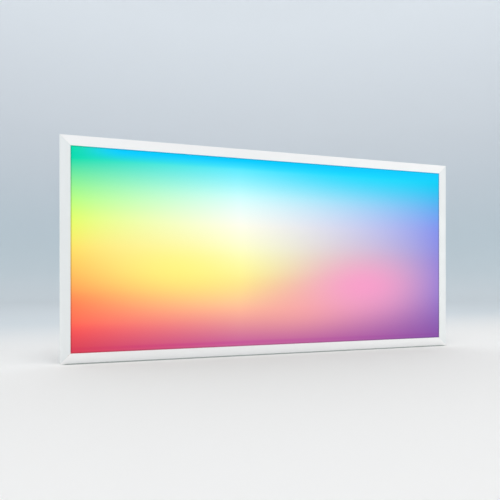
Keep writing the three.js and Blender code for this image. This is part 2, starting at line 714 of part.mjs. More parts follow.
/** A slider's slot in the end wall, grown by a clearance. */
function sliderSlot(z) {
  const half = SLIDER_NUB_LENGTH / 2 + GAP;
  return block(
    [-BOX_X - GAP, WALL_INSIDE + GAP],
    [CONTROL_Y - SLIDER_NUB_HEIGHT / 2 - GAP, CONTROL_Y + SLIDER_NUB_HEIGHT / 2 + GAP],
    [z - half, z + half + SLIDER_TRAVEL],
  );
}

/** One of the tray's two ears that hold the hinge pin. */
function hingeEar(x) {
  const ring = bar("x", KNUCKLE_RADIUS, EAR_THICKNESS, [x, HINGE_Y, HINGE_Z]);
  const web = block(
    [x, x + EAR_THICKNESS],
    [HINGE_Y - KNUCKLE_RADIUS, WALL_TOP],
    [BOX_Z - DRIVER_SHEET, HINGE_Z],
  );
  return join(ring, web);
}

function driverTray() {
  const x = BOX_X - DRIVER_SHEET;
  const z = BOX_Z - DRIVER_SHEET;
  const shell = cut(
    block([-BOX_X, BOX_X], [0, WALL_TOP], [-BOX_Z, BOX_Z]),
    block([-x, x], [DRIVER_SHEET, DRIVER_DEPTH], [-z, z]),
  );
  const bosses = coverScrewSpots.map(([bx, bz]) =>
    bar("y", BOSS_RADIUS, LID_Y - GAP - DRIVER_SHEET / 2, [bx, DRIVER_SHEET / 2, bz], 12),
  );
  const standoffs = standoffSpots.map(([sx, sz]) =>
    bar("y", STANDOFF_RADIUS, BOARD_Y - GAP - DRIVER_SHEET / 2, [sx, DRIVER_SHEET / 2, sz], 10),
  );
  const ears = [DOOR_START + EAR_INSET, BOX_X - EAR_INSET - EAR_THICKNESS].map(hingeEar);
  const drill = SCREW_REACH + 2 * CUT_MARGIN;
  const through = DRIVER_SHEET + 2 * CUT_MARGIN;
  return cut(
    join(shell, ...bosses, ...standoffs, ...ears),
    ...coverScrewSpots.map(([bx, bz]) => bar("y", SCREW_HOLE, drill, [bx, LID_Y - drill, bz], 10)),
    bar("x", PIN_RADIUS + GAP, WIRING_LENGTH, [DIVIDER_X, HINGE_Y, HINGE_Z], 12),
    bar("x", BUSHING_BARREL + GAP, through, [x - CUT_MARGIN, COMPARTMENT_MIDDLE_Y, 0], 20),
    bar("z", KNOCKOUT_RADIUS + GAP, through, [WIRING_MIDDLE_X, KNOCKOUT_Y, -BOX_Z - CUT_MARGIN], 20),
    bar("x", BUTTON_RADIUS + GAP, through, [-BOX_X - CUT_MARGIN, CONTROL_Y, BUTTON_Z], 14),
    ...sliderSpots.map(sliderSlot),
    ...leads.map((lead) => bar("y", LEAD_PORT_RADIUS, through, [lead.x, -CUT_MARGIN, 0], 12)),
  );
}

function driverCover() {
  const plate = block([-BOX_X, COVER_END], [LID_Y, DRIVER_DEPTH], [-BOX_Z, BOX_Z]);
  const outer = DRIVER_SHEET + GAP;
  const inner = outer + DRIVER_SHEET;
  const end = DIVIDER_X - DRIVER_SHEET / 2 - GAP;
  const skirt = cut(
    block([outer - BOX_X, end], [LID_Y - COVER_SKIRT, LID_Y], [outer - BOX_Z, BOX_Z - outer]),
    block([inner - BOX_X, end + GAP], [LID_Y - 2 * COVER_SKIRT, LID_Y + GAP], [inner - BOX_Z, BOX_Z - inner]),
  );
  const vents = Array.from({ length: VENT_COUNT }, (_, i) => {
    const x = (COVER_END - BOX_X) / 2 + (i - (VENT_COUNT - 1) / 2) * VENT_PITCH;
    return block(
      [x, x + VENT_WIDTH],
      [LID_Y - CUT_MARGIN, DRIVER_DEPTH + CUT_MARGIN],
      [-VENT_LENGTH / 2, VENT_LENGTH / 2],
    );
  });
  const holes = coverScrewSpots.map(([x, z]) =>
    bar("y", SCREW_HOLE, DRIVER_SHEET + 2 * CUT_MARGIN, [x, LID_Y - CUT_MARGIN, z], 10),
  );
  return cut(join(plate, skirt), ...vents, ...holes);
}

/** The wiring compartment's door, with a rolled knuckle along its top and a finger lip below. */
function wiringDoor() {
  const plate = block([DOOR_START, BOX_X], [LID_Y, DRIVER_DEPTH], [-BOX_Z - GAP - DRIVER_SHEET, BOX_Z - GAP]);
  const lip = block(
    [DOOR_START, BOX_X],
    [DRIVER_DEPTH - DOOR_LIP, DRIVER_DEPTH],
    [-BOX_Z - GAP - DRIVER_SHEET, -BOX_Z - GAP],
  );
  const strap = block([KNUCKLE_START, KNUCKLE_END], [LID_Y, DRIVER_DEPTH], [BOX_Z - CUT_MARGIN, HINGE_Z]);
  const length = KNUCKLE_END - KNUCKLE_START;
  const knuckle = bar("x", KNUCKLE_RADIUS, length, [KNUCKLE_START, HINGE_Y, HINGE_Z]);
  const bore = bar(
    "x",
    PIN_RADIUS + GAP,
    length + 2 * CUT_MARGIN,
    [KNUCKLE_START - CUT_MARGIN, HINGE_Y, HINGE_Z],
    12,
  );
  return cut(join(plate, lip, strap, knuckle), bore);
}

function hingePin() {
  const start = DOOR_START + EAR_INSET - GAP;
  const length = BOX_X - EAR_INSET + GAP - start;
  const head = bar("x", PIN_HEAD_RADIUS, PIN_HEAD_LENGTH, [start + length, HINGE_Y, HINGE_Z], 12);
  return join(bar("x", PIN_RADIUS, length + PIN_HEAD_LENGTH / 2, [start, HINGE_Y, HINGE_Z], 12), head);
}

/** The wall between the supply wires and the circuit board, with a foot and a wire hole. */
function dividerPlate() {
  const z = BOX_Z - DRIVER_SHEET - GAP;
  const y = DRIVER_SHEET + GAP;
  const half = DRIVER_SHEET / 2;
  const wall = block([DIVIDER_X - half, DIVIDER_X + half], [y, WALL_TOP - GAP], [-z, z]);
  const foot = block([DIVIDER_X - half - DIVIDER_FOOT, DIVIDER_X + half], [y, y + DRIVER_SHEET], [-z, z]);
  const hole = bar(
    "x",
    DIVIDER_WIRE_RADIUS,
    DRIVER_SHEET + 2 * CUT_MARGIN,
    [DIVIDER_X - half - CUT_MARGIN, COMPARTMENT_MIDDLE_Y, 0],
  );
  return cut(join(wall, foot), hole);
}

/** The bushing that the supply cable would enter by, snapped into the end wall. */
function inletBushing() {
  const snap = -DRIVER_SHEET - GAP - BUSHING_SNAP_THICKNESS;
  const ring = turned(
    [
      [BUSHING_BORE, snap],
      [BUSHING_SNAP, snap],
      [BUSHING_SNAP, snap + BUSHING_SNAP_THICKNESS],
      [BUSHING_BARREL, snap + BUSHING_SNAP_THICKNESS],
      [BUSHING_BARREL, GAP],
      [BUSHING_FLANGE, GAP],
      [BUSHING_FLANGE, GAP + BUSHING_FLANGE_THICKNESS],
      [BUSHING_BORE, GAP + BUSHING_FLANGE_THICKNESS],
      [BUSHING_BORE, snap],
    ],
    20,
  );
  return ring.rotateZ(-Math.PI / 2).translate(BOX_X, COMPARTMENT_MIDDLE_Y, 0);
}

/** The blanking plug in the compartment's second cable hole. */
function knockoutPlug() {
  const plug = turned(
    [
      [0, -KNOCKOUT_THICKNESS],
      [KNOCKOUT_FLANGE, -KNOCKOUT_THICKNESS],
      [KNOCKOUT_FLANGE, 0],
      [KNOCKOUT_RADIUS, 0],
      [KNOCKOUT_RADIUS, GAP + DRIVER_SHEET],
      [0, GAP + DRIVER_SHEET],
    ],
    20,
  );
  return plug.rotateX(Math.PI / 2).translate(WIRING_MIDDLE_X, KNOCKOUT_Y, -BOX_Z - GAP);
}

// ---- Circuit board and components -----------------------------------------------------------------

function driverBoard() {
  const board = block([BOARD_START, BOARD_END], [BOARD_Y, BOARD_Y + BOARD_THICKNESS], [-BOARD_Z, BOARD_Z]);
  const tact = block(
    [TACT_X, TACT_X + TACT_LENGTH],
    [BOARD_Y + BOARD_THICKNESS / 2, CONTROL_Y + BUTTON_STEM_RADIUS],
    [BUTTON_Z - TACT_WIDTH / 2, BUTTON_Z + TACT_WIDTH / 2],
  );
  const bossHoles = coverScrewSpots.map(([x, z]) =>
    bar("y", BOSS_RADIUS + GAP, BOARD_THICKNESS + 2 * CUT_MARGIN, [x, BOARD_Y - CUT_MARGIN, z], 12),
  );
  return cut(join(board, tact), ...bossHoles);
}

function transformer() {
  const x = TRANSFORMER_LENGTH / 2;
  const z = TRANSFORMER_WIDTH / 2;
  const core = cut(
    block([-x, x], [0, HEADROOM], [-z + TRANSFORMER_LEG, z - TRANSFORMER_LEG]),
    block([TRANSFORMER_LEG - x, x - TRANSFORMER_LEG], [TRANSFORMER_LEG, HEADROOM + CUT_MARGIN], [-z, z]),
  );
  const winding = block(
    [TRANSFORMER_LEG / 2 - x, x - TRANSFORMER_LEG / 2],
    [TRANSFORMER_LEG / 2, HEADROOM - TRANSFORMER_LEG / 2],
    [-z, z],
  );
  return join(core, winding);
}

function heatSink() {
  const x = HEAT_SINK_LENGTH / 2;
  const width = (HEAT_SINK_FINS - 1) * HEAT_SINK_PITCH + HEAT_SINK_FIN;
  const base = block([-x, x], [0, HEAT_SINK_BASE], [0, width]);
  const fins = Array.from({ length: HEAT_SINK_FINS }, (_, i) => {
    const z = i * HEAT_SINK_PITCH;
    return block([-x, x], [HEAT_SINK_BASE / 2, HEAT_SINK_HEIGHT], [z, z + HEAT_SINK_FIN]);
  });
  return join(base, ...fins);
}

function fuse() {
  const tube = bar("x", FUSE_RADIUS, FUSE_LENGTH, [0, FUSE_CAP_RADIUS, 0], 12);
  const caps = [0, FUSE_LENGTH - FUSE_CAP_LENGTH].map((x) =>
    bar("x", FUSE_CAP_RADIUS, FUSE_CAP_LENGTH, [x, FUSE_CAP_RADIUS, 0], 12),
  );
  return join(tube, ...caps);
}

function radioModule() {
  const board = block([0, RADIO_LENGTH], [0, RADIO_BOARD], [0, RADIO_WIDTH]);
  const can = block(
    [RADIO_CAN_MARGIN, RADIO_LENGTH - RADIO_AERIAL],
    [RADIO_BOARD / 2, RADIO_BOARD + RADIO_CAN_HEIGHT],
    [RADIO_CAN_MARGIN, RADIO_WIDTH - RADIO_CAN_MARGIN],
  );
  return join(board, can);
}

function outputTerminal() {
  const length = TERMINAL_WAYS * TERMINAL_PITCH;
  const body = block([0, TERMINAL_DEPTH], [0, TERMINAL_HEIGHT], [0, length]);
  const holes = Array.from({ length: TERMINAL_WAYS }, (_, i) => {
    const start = [TERMINAL_DEPTH / 2 + CUT_MARGIN, TERMINAL_HEIGHT / 2, (i + 0.5) * TERMINAL_PITCH];
    return bar("x", TERMINAL_HOLE_RADIUS, TERMINAL_DEPTH / 2, start, 10);
  });
  return cut(body, ...holes);
}

/** The components that stand on the board. */
function boardParts() {
  const capacitor = turned(
    [
      [0, 0],
      [CAPACITOR_RADIUS, 0],
      [CAPACITOR_RADIUS, HEADROOM - 1],
      [CAPACITOR_RADIUS - 1, HEADROOM],
      [0, HEADROOM],
    ],
    16,
  );
  const choke = new THREE.TorusGeometry(CHOKE_RADIUS, CHOKE_WIRE_RADIUS, 8, 16);
  return [
    ["transformer", transformer(), finishes.yellowTape],
    ["bulk_capacitor", capacitor, finishes.blackPlastic],
    ["filter_choke", choke.translate(0, CHOKE_RADIUS + CHOKE_WIRE_RADIUS, 0), finishes.orangePlastic],
    ["heat_sink", heatSink(), finishes.bareAluminium],
    ["fuse", fuse(), finishes.zincSteel],
    ["radio_module", radioModule(), finishes.zincSteel],
    ["output_terminal", outputTerminal(), finishes.greyPlastic],
  ].map(([name, geometry, material]) => {
    const { fromStart, fromEnd, z } = BOARD_LAYOUT[name];
    const x = fromStart === undefined ? BOARD_END - fromEnd : BOARD_START + fromStart;
    return piece(name, geometry, material, [x, PARTS_Y, z]);
  });
}

// ---- Controls ----------------------------------------------------------------------------------

function pairButton() {
  const capStart = [-BOX_X - BUTTON_OUT, CONTROL_Y, BUTTON_Z];
  const cap = bar("x", BUTTON_RADIUS, BUTTON_OUT + DRIVER_SHEET + 2 * GAP, capStart);
  const flange = bar("x", BUTTON_FLANGE, BUTTON_FLANGE_THICKNESS, [BUTTON_FLANGE_X, CONTROL_Y, BUTTON_Z]);
  const stem = bar(
    "x",
    BUTTON_STEM_RADIUS,
    BUTTON_FLANGE_THICKNESS / 2 + BUTTON_STEM_LENGTH,
    [BUTTON_FLANGE_X + BUTTON_FLANGE_THICKNESS / 2, CONTROL_Y, BUTTON_Z],
    10,
  );
  return join(cap, flange, stem);
}

function selectorSlider(z) {
  const inner = WALL_INSIDE + GAP;
  const halfHeight = SLIDER_NUB_HEIGHT / 2;
  const halfLength = SLIDER_NUB_LENGTH / 2;
  const around = (middle, half) => [middle - half, middle + half];
  const plate = block(
    [inner, inner + SLIDER_PLATE_THICKNESS],
    around(CONTROL_Y, halfHeight + SLIDER_PLATE_MARGIN),
    around(z, halfLength + SLIDER_PLATE_MARGIN),
  );
  const nub = block(
    [-BOX_X - SLIDER_OUT, inner + SLIDER_PLATE_THICKNESS / 2],
    around(CONTROL_Y, halfHeight),
    around(z, halfLength),
  );
  return join(plate, nub);
}

/** The switch body behind the sliders, standing on the board's edge. */
function selectorSwitch() {
  const reach = SLIDER_NUB_LENGTH / 2 + SLIDER_PLATE_MARGIN;
  const top = sliderSpots[sliderSpots.length - 1] + reach + SLIDER_TRAVEL;
  return block(
    [SELECTOR_X, SELECTOR_X + SELECTOR_DEPTH],
    [PARTS_Y, CONTROL_Y + SLIDER_NUB_HEIGHT / 2 + SELECTOR_MARGIN],
    [SLIDER_LOWEST_Z - reach, top],
  );
}

const leverSpots = Array.from({ length: LEVER_WAYS }, (_, i) => (i - (LEVER_WAYS - 1) / 2) * LEVER_PITCH);

/** The supply terminal: a body with one wire hole and one pair of cheeks for each lever. */
function inputTerminal() {
  const half = (LEVER_WAYS * LEVER_PITCH + (LEVER_PITCH - LEVER_WIDTH)) / 2;
  const z = LEVER_BLOCK_LENGTH / 2;
  const cheek = LEVER_PIVOT_Y + LEVER_BARREL_RADIUS;
  const cheekStart = LEVER_PIVOT_Z - LEVER_BARREL_RADIUS - LEVER_CHEEK_MARGIN;
  const body = block([-half, half], [0, LEVER_BLOCK_HEIGHT], [-z, z]);
  const top = block([-half, half], [LEVER_BLOCK_HEIGHT / 2, cheek], [cheekStart, z]);
  const bays = leverSpots.map((x) =>
    block(
      [x - LEVER_WIDTH / 2 - GAP, x + LEVER_WIDTH / 2 + GAP],
      [LEVER_BLOCK_HEIGHT, cheek + CUT_MARGIN],
      [cheekStart - CUT_MARGIN, z - LEVER_BAY_MARGIN],
    ),
  );
  const pivot = bar(
    "x",
    LEVER_PIVOT_RADIUS + GAP,
    2 * (half - CUT_MARGIN),
    [CUT_MARGIN - half, LEVER_PIVOT_Y, LEVER_PIVOT_Z],
    10,
  );
  const wires = leverSpots.map((x) =>
    bar("z", LEVER_WIRE_RADIUS, z, [x, LEVER_BLOCK_HEIGHT / 2, -z - CUT_MARGIN], 10),
  );
  return cut(join(body, top), ...bays, pivot, ...wires);
}

/** A terminal lever: pivot on the X axis at the origin, arm along -Z. */
function terminalLever() {
  const half = LEVER_WIDTH / 2;
  const reach = half + GAP + LEVER_PIVOT_LENGTH;
  return join(
    block([-half, half], [LEVER_BARREL_RADIUS - LEVER_THICKNESS, LEVER_BARREL_RADIUS], [-LEVER_LENGTH, 0]),
    bar("x", LEVER_BARREL_RADIUS, LEVER_WIDTH, [-half, 0, 0], 12),
    bar("x", LEVER_PIVOT_RADIUS, 2 * reach, [-reach, 0, 0], 10),
  );
}

// ---- Assembly ----------------------------------------------------------------------------------

function supplyTerminal() {
  const lever = terminalLever();
  const group = new THREE.Group();
  group.position.set(WIRING_MIDDLE_X, DRIVER_SHEET + GAP, 0);
  group.add(piece("input_terminal", inputTerminal(), finishes.greyPlastic));
  leverSpots.forEach((x, i) => {
    const pivot = [x, LEVER_PIVOT_Y, LEVER_PIVOT_Z];
    group.add(piece(`terminal_lever_${i + 1}`, lever, finishes.orangePlastic, pivot));
  });
  return group;
}

function driverBox() {
  const driver = new THREE.Group();
  driver.position.set(0, DRIVER_Y, DRIVER_CENTRE_Z);
  const coverScrew = screw();
  driver.add(
    piece("driver_tray", driverTray(), finishes.whitePaint),
    piece("driver_cover", driverCover(), finishes.whitePaint),
    piece("wiring_door", wiringDoor(), finishes.whitePaint),
    piece("door_hinge_pin", hingePin(), finishes.zincSteel),
    piece("divider_plate", dividerPlate(), finishes.zincSteel),
    piece("inlet_bushing", inletBushing(), finishes.blackPlastic),
    piece("knockout_plug", knockoutPlug(), finishes.blackPlastic),
    piece("driver_board", driverBoard(), finishes.greenBoard),
    ...boardParts(),
    supplyTerminal(),
    piece("selector_switch", selectorSwitch(), finishes.blackPlastic),
    ...sliderSpots.map((z, i) => piece(`selector_slider_${i + 1}`, selectorSlider(z), finishes.greyPlastic)),
    piece("pair_button", pairButton(), finishes.greyPlastic),
    ...coverScrewSpots.map(([x, z], i) =>
      piece(`cover_screw_${i + 1}`, coverScrew, finishes.zincSteel, [x, DRIVER_DEPTH + GAP, z]),
    ),
  );
  return driver;
}

const panel = new THREE.Group();
panel.position.y = -TOTAL_DEPTH / 2;
panel.add(
  ...frame(),
  ...cornerKeys(),
  ...opticalStack(),
  ...lightStrips(),
  ...edgeBumpers(),
  ...ledLeads(),
  backPlate(),
  ...plateScrews(),
  ...gridClips(),
  driverBox(),
);

const part = new THREE.Group();
part.add(panel);
export default part;
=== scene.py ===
import json
import math

import bmesh
import bpy
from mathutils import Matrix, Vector

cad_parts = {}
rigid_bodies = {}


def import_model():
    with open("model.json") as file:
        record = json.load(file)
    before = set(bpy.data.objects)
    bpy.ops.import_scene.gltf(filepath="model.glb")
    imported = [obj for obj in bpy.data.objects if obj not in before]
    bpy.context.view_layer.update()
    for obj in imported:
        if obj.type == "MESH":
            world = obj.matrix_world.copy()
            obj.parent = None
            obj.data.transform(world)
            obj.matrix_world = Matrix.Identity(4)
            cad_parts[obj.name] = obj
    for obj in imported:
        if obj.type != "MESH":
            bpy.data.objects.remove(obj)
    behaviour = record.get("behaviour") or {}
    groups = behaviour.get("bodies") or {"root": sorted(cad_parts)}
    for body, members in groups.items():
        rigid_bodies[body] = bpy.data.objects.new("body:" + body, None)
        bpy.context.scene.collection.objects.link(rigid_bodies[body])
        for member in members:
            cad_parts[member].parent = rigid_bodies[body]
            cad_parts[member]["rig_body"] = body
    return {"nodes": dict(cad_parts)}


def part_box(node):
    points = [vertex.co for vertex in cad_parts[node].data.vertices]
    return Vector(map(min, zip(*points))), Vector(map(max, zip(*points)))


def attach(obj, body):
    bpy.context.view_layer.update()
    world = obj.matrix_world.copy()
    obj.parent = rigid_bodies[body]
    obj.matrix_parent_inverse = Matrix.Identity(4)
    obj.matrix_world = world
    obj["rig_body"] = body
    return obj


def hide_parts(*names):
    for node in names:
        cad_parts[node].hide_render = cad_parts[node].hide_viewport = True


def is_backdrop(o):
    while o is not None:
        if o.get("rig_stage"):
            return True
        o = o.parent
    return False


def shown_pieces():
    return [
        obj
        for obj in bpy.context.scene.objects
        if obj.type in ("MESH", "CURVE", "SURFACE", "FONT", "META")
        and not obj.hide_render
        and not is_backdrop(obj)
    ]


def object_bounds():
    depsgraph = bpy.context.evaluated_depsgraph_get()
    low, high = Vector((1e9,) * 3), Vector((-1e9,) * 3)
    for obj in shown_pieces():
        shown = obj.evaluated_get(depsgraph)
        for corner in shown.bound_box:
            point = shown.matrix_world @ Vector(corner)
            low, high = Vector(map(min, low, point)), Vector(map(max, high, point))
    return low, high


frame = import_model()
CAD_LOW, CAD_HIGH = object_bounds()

MM = 0.001
FACE_Y = CAD_LOW.y

# ---- Camera, stage and lights ------------------------------------------------------------------

LENS = 34.16  # mm, on the default 36 mm sensor
CAMERA_X = -0.4877  # the panel's middle is at 0
CAMERA_HEIGHT = 0.2254
CAMERA_TO_FACE = 1.3148
CAMERA_PAN = 17.1  # degrees to the right of straight at the face
CAMERA_SHIFT = 0.0543  # of the picture's width, so that upright edges stay upright

STAGE_RADIUS = 4.8
STAGE_SWEEP = 1.4  # radius where the floor turns up into the wall
STAGE_HEIGHT = 6.0
STAGE_SIDES = 128
SWEEP_STEPS = 24

SKY_COLOUR = (0.93, 0.965, 1.0, 1.0)
SKY_STRENGTH = 0.4

WASH_PLACE = (0.0, -1.3, 5.2)  # of the round lamp over the stage, which lights nothing but the stage
WASH_RADIUS = 1.6
WASH_POWER = 440.0

# The lights that fall on the panel and not on the stage. Each has its place, the point it looks at,
# the length of its side, its watts and its colour.
SOFT_LIGHTS = {
    "key": ((-2.3, -3.2, 1.5), (0.0, 0.0, 0.1), 2.4, 33.0, (1.0, 0.99, 0.98)),
    "fill": ((2.2, -2.6, 0.55), (0.1, 0.0, 0.0), 1.0, 20.0, (1.0, 0.98, 0.95)),
    "rear": ((-1.7, 0.75, 1.9), (0.0, 0.0, 0.25), 0.7, 34.0, (1.0, 0.985, 0.96)),
}


def make_camera():
    data = bpy.data.cameras.new("camera")
    data.lens = LENS
    data.shift_y = CAMERA_SHIFT
    camera = bpy.data.objects.new("camera", data)
    camera.location = (CAMERA_X, FACE_Y - CAMERA_TO_FACE, CAMERA_HEIGHT)
    camera.rotation_euler = (math.radians(90), 0, -math.radians(CAMERA_PAN))
    bpy.context.scene.collection.objects.link(camera)
    bpy.context.scene.camera = camera


def add_lamp(name, kind, place, watts):
    """A lamp that the camera doesn't see."""
    data = bpy.data.lights.new(name, kind)
    data.energy = watts
    lamp = bpy.data.objects.new(name, data)
    lamp.visible_camera = False
    lamp.location = place
    bpy.context.scene.collection.objects.link(lamp)
    return lamp


def make_soft_lights():
    """The square studio lights, aimed at the panel."""
    lamps = []
    for name, (place, target, side, watts, colour) in SOFT_LIGHTS.items():
        lamp = add_lamp(name, "AREA", place, watts)
        lamp.data.size = side
        lamp.data.color = colour
        aim = Vector(target) - Vector(place)
        lamp.rotation_euler = aim.to_track_quat("-Z", "Y").to_euler()
        lamps.append(lamp)
    return lamps


def make_wash(stage):
    """A big soft lamp overhead that brightens the floor and the wall alike on every side."""
    lamp = add_lamp("wash", "POINT", WASH_PLACE, WASH_POWER)
    lamp.data.shadow_soft_size = WASH_RADIUS
    light_only(lamp, [stage])


def light_only(source, lit):
    """Makes a lamp or a glowing piece light nothing but the given objects."""
    receivers = bpy.data.collections.new(f"lit_by_{source.name}")
    for one in lit:
        receivers.objects.link(one)
    source.light_linking.receiver_collection = receivers


def make_sky():
    """An even, faintly cool light from all round."""
    world = bpy.data.worlds.new("soft_sky")
    world.use_nodes = True
    background = world.node_tree.nodes["Background"]
    background.inputs["Color"].default_value = SKY_COLOUR
    background.inputs["Strength"].default_value = SKY_STRENGTH
    bpy.context.scene.world = world


def make_stage():
    """A round floor that sweeps up into a wall on every side."""
    turn = STAGE_RADIUS - STAGE_SWEEP
    profile = [(0.0, 0.0), (turn, 0.0)]
    for step in range(1, SWEEP_STEPS + 1):
        angle = math.pi / 2 * step / SWEEP_STEPS
        profile.append((turn + STAGE_SWEEP * math.sin(angle), STAGE_SWEEP * (1 - math.cos(angle))))
    profile.append((STAGE_RADIUS, STAGE_HEIGHT))
    stage = turned("stage", profile, sides=STAGE_SIDES)
    stage.data.materials.append(stage_paper())
    stage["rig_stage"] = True
    return stage


# ---- Meshes ------------------------------------------------------------------------------------


SHARP_ANGLE = math.radians(35)  # faces that meet at more than this have a sharp edge
AXIS_RADIUS = 0.001 * MM  # a profile's point closer to the axis than this is on it
CORNER_SHARE = 0.45  # the most that a rounded corner takes of the sides beside it


def shade(mesh):
    """Smooth shading except across sharp edges."""
    mesh.shade_smooth()
    mesh.set_sharp_from_angle(angle=SHARP_ANGLE)


def object_from(shape, name):
    """Turns a bmesh into an object in the scene."""
    bmesh.ops.recalc_face_normals(shape, faces=shape.faces)
    mesh = bpy.data.meshes.new(name)
    shape.to_mesh(mesh)
    shape.free()
    shade(mesh)
    made = bpy.data.objects.new(name, mesh)
    bpy.context.scene.collection.objects.link(made)
    return made


def rounded(profile, radius, steps=4):
    """A profile with each inner corner cut to an arc of about that radius."""
    points = [Vector(point) for point in profile]
    softened = [points[0]]
    for before, corner, after in zip(points, points[1:], points[2:]):
        into = before - corner
        out = after - corner
        reach = min(radius, into.length * CORNER_SHARE, out.length * CORNER_SHARE)
        start = corner + into.normalized() * reach
        end = corner + out.normalized() * reach
        for step in range(steps + 1):
            t = step / steps
            softened.append(start * (1 - t) ** 2 + corner * (2 * t * (1 - t)) + end * t**2)
    softened.append(points[-1])
    return softened


def turned(name, profile, sides=48, closed=False):
    """A solid turned about Z from (radius, height) points, as a ring if the profile is closed."""
    shape = bmesh.new()
    rings = []
    for radius, height in profile:
        count = sides if radius > AXIS_RADIUS else 1
        ring = []
        for i in range(count):
            angle = 2 * math.pi * i / count
            ring.append(shape.verts.new((radius * math.cos(angle), radius * math.sin(angle), height)))
        rings.append(ring)
    following = rings[1:] + rings[:1] if closed else rings[1:]
    for low, high in zip(rings, following):
        for i in range(sides):
            j = (i + 1) % sides
            corners = [low[i % len(low)], low[j % len(low)], high[j % len(high)], high[i % len(high)]]
            corners = list(dict.fromkeys(corners))
            if len(corners) > 2:
                shape.faces.new(corners)
    return object_from(shape, name)


def carve(body, cutter):
    """Takes cutter out of body, and removes cutter."""
    modifier = body.modifiers.new("carve", "BOOLEAN")
    modifier.operation = "DIFFERENCE"
    modifier.object = cutter
    graph = bpy.context.evaluated_depsgraph_get()
    carved = bpy.data.meshes.new_from_object(body.evaluated_get(graph))
    body.modifiers.remove(modifier)
    body.data = carved
    bpy.data.objects.remove(cutter)
    shade(carved)


def stand(made, place, direction):
    """Puts a piece's origin at a place, with its own Z along a direction."""
    made.location = place
    made.rotation_euler = Vector(direction).to_track_quat("Z", "Y").to_euler()


def middle(node_name):
    """The middle of a CAD node's box."""
    low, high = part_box(node_name)
    return (low + high) / 2


def nodes_called(name):
    """The CAD node of that name or, where it ends with _, all whose names start with it."""
    if name.endswith("_"):
        return [node for node_name, node in frame["nodes"].items() if node_name.startswith(name)]
    return [frame["nodes"][name]]


# ---- Materials ---------------------------------------------------------------------------------


NOISE_RANGE = (0.3, 0.7)  # nearly all of a noise texture's values lie in it


def linear(channel):
    """A screen colour's channel as linear light, by the sRGB curve."""
    if channel <= 0.04045:
        return channel / 12.92
    return ((channel + 0.055) / 1.055) ** 2.4


def screen(digits):
    """A linear RGBA colour from the three or six hex digits of a screen colour."""
    size = len(digits) // 3
    full = 16**size - 1
    channels = [int(digits[i : i + size], 16) / full for i in range(0, len(digits), size)]
    return (*(linear(channel) for channel in channels), 1.0)


def grey(value):
    return (value, value, value, 1.0)


def scaled(colour, factor, lift=0.0):
    """A colour with each channel multiplied and then lifted, up to 1."""
    return (*(min(1.0, channel * factor + lift) for channel in colour[:3]), 1.0)


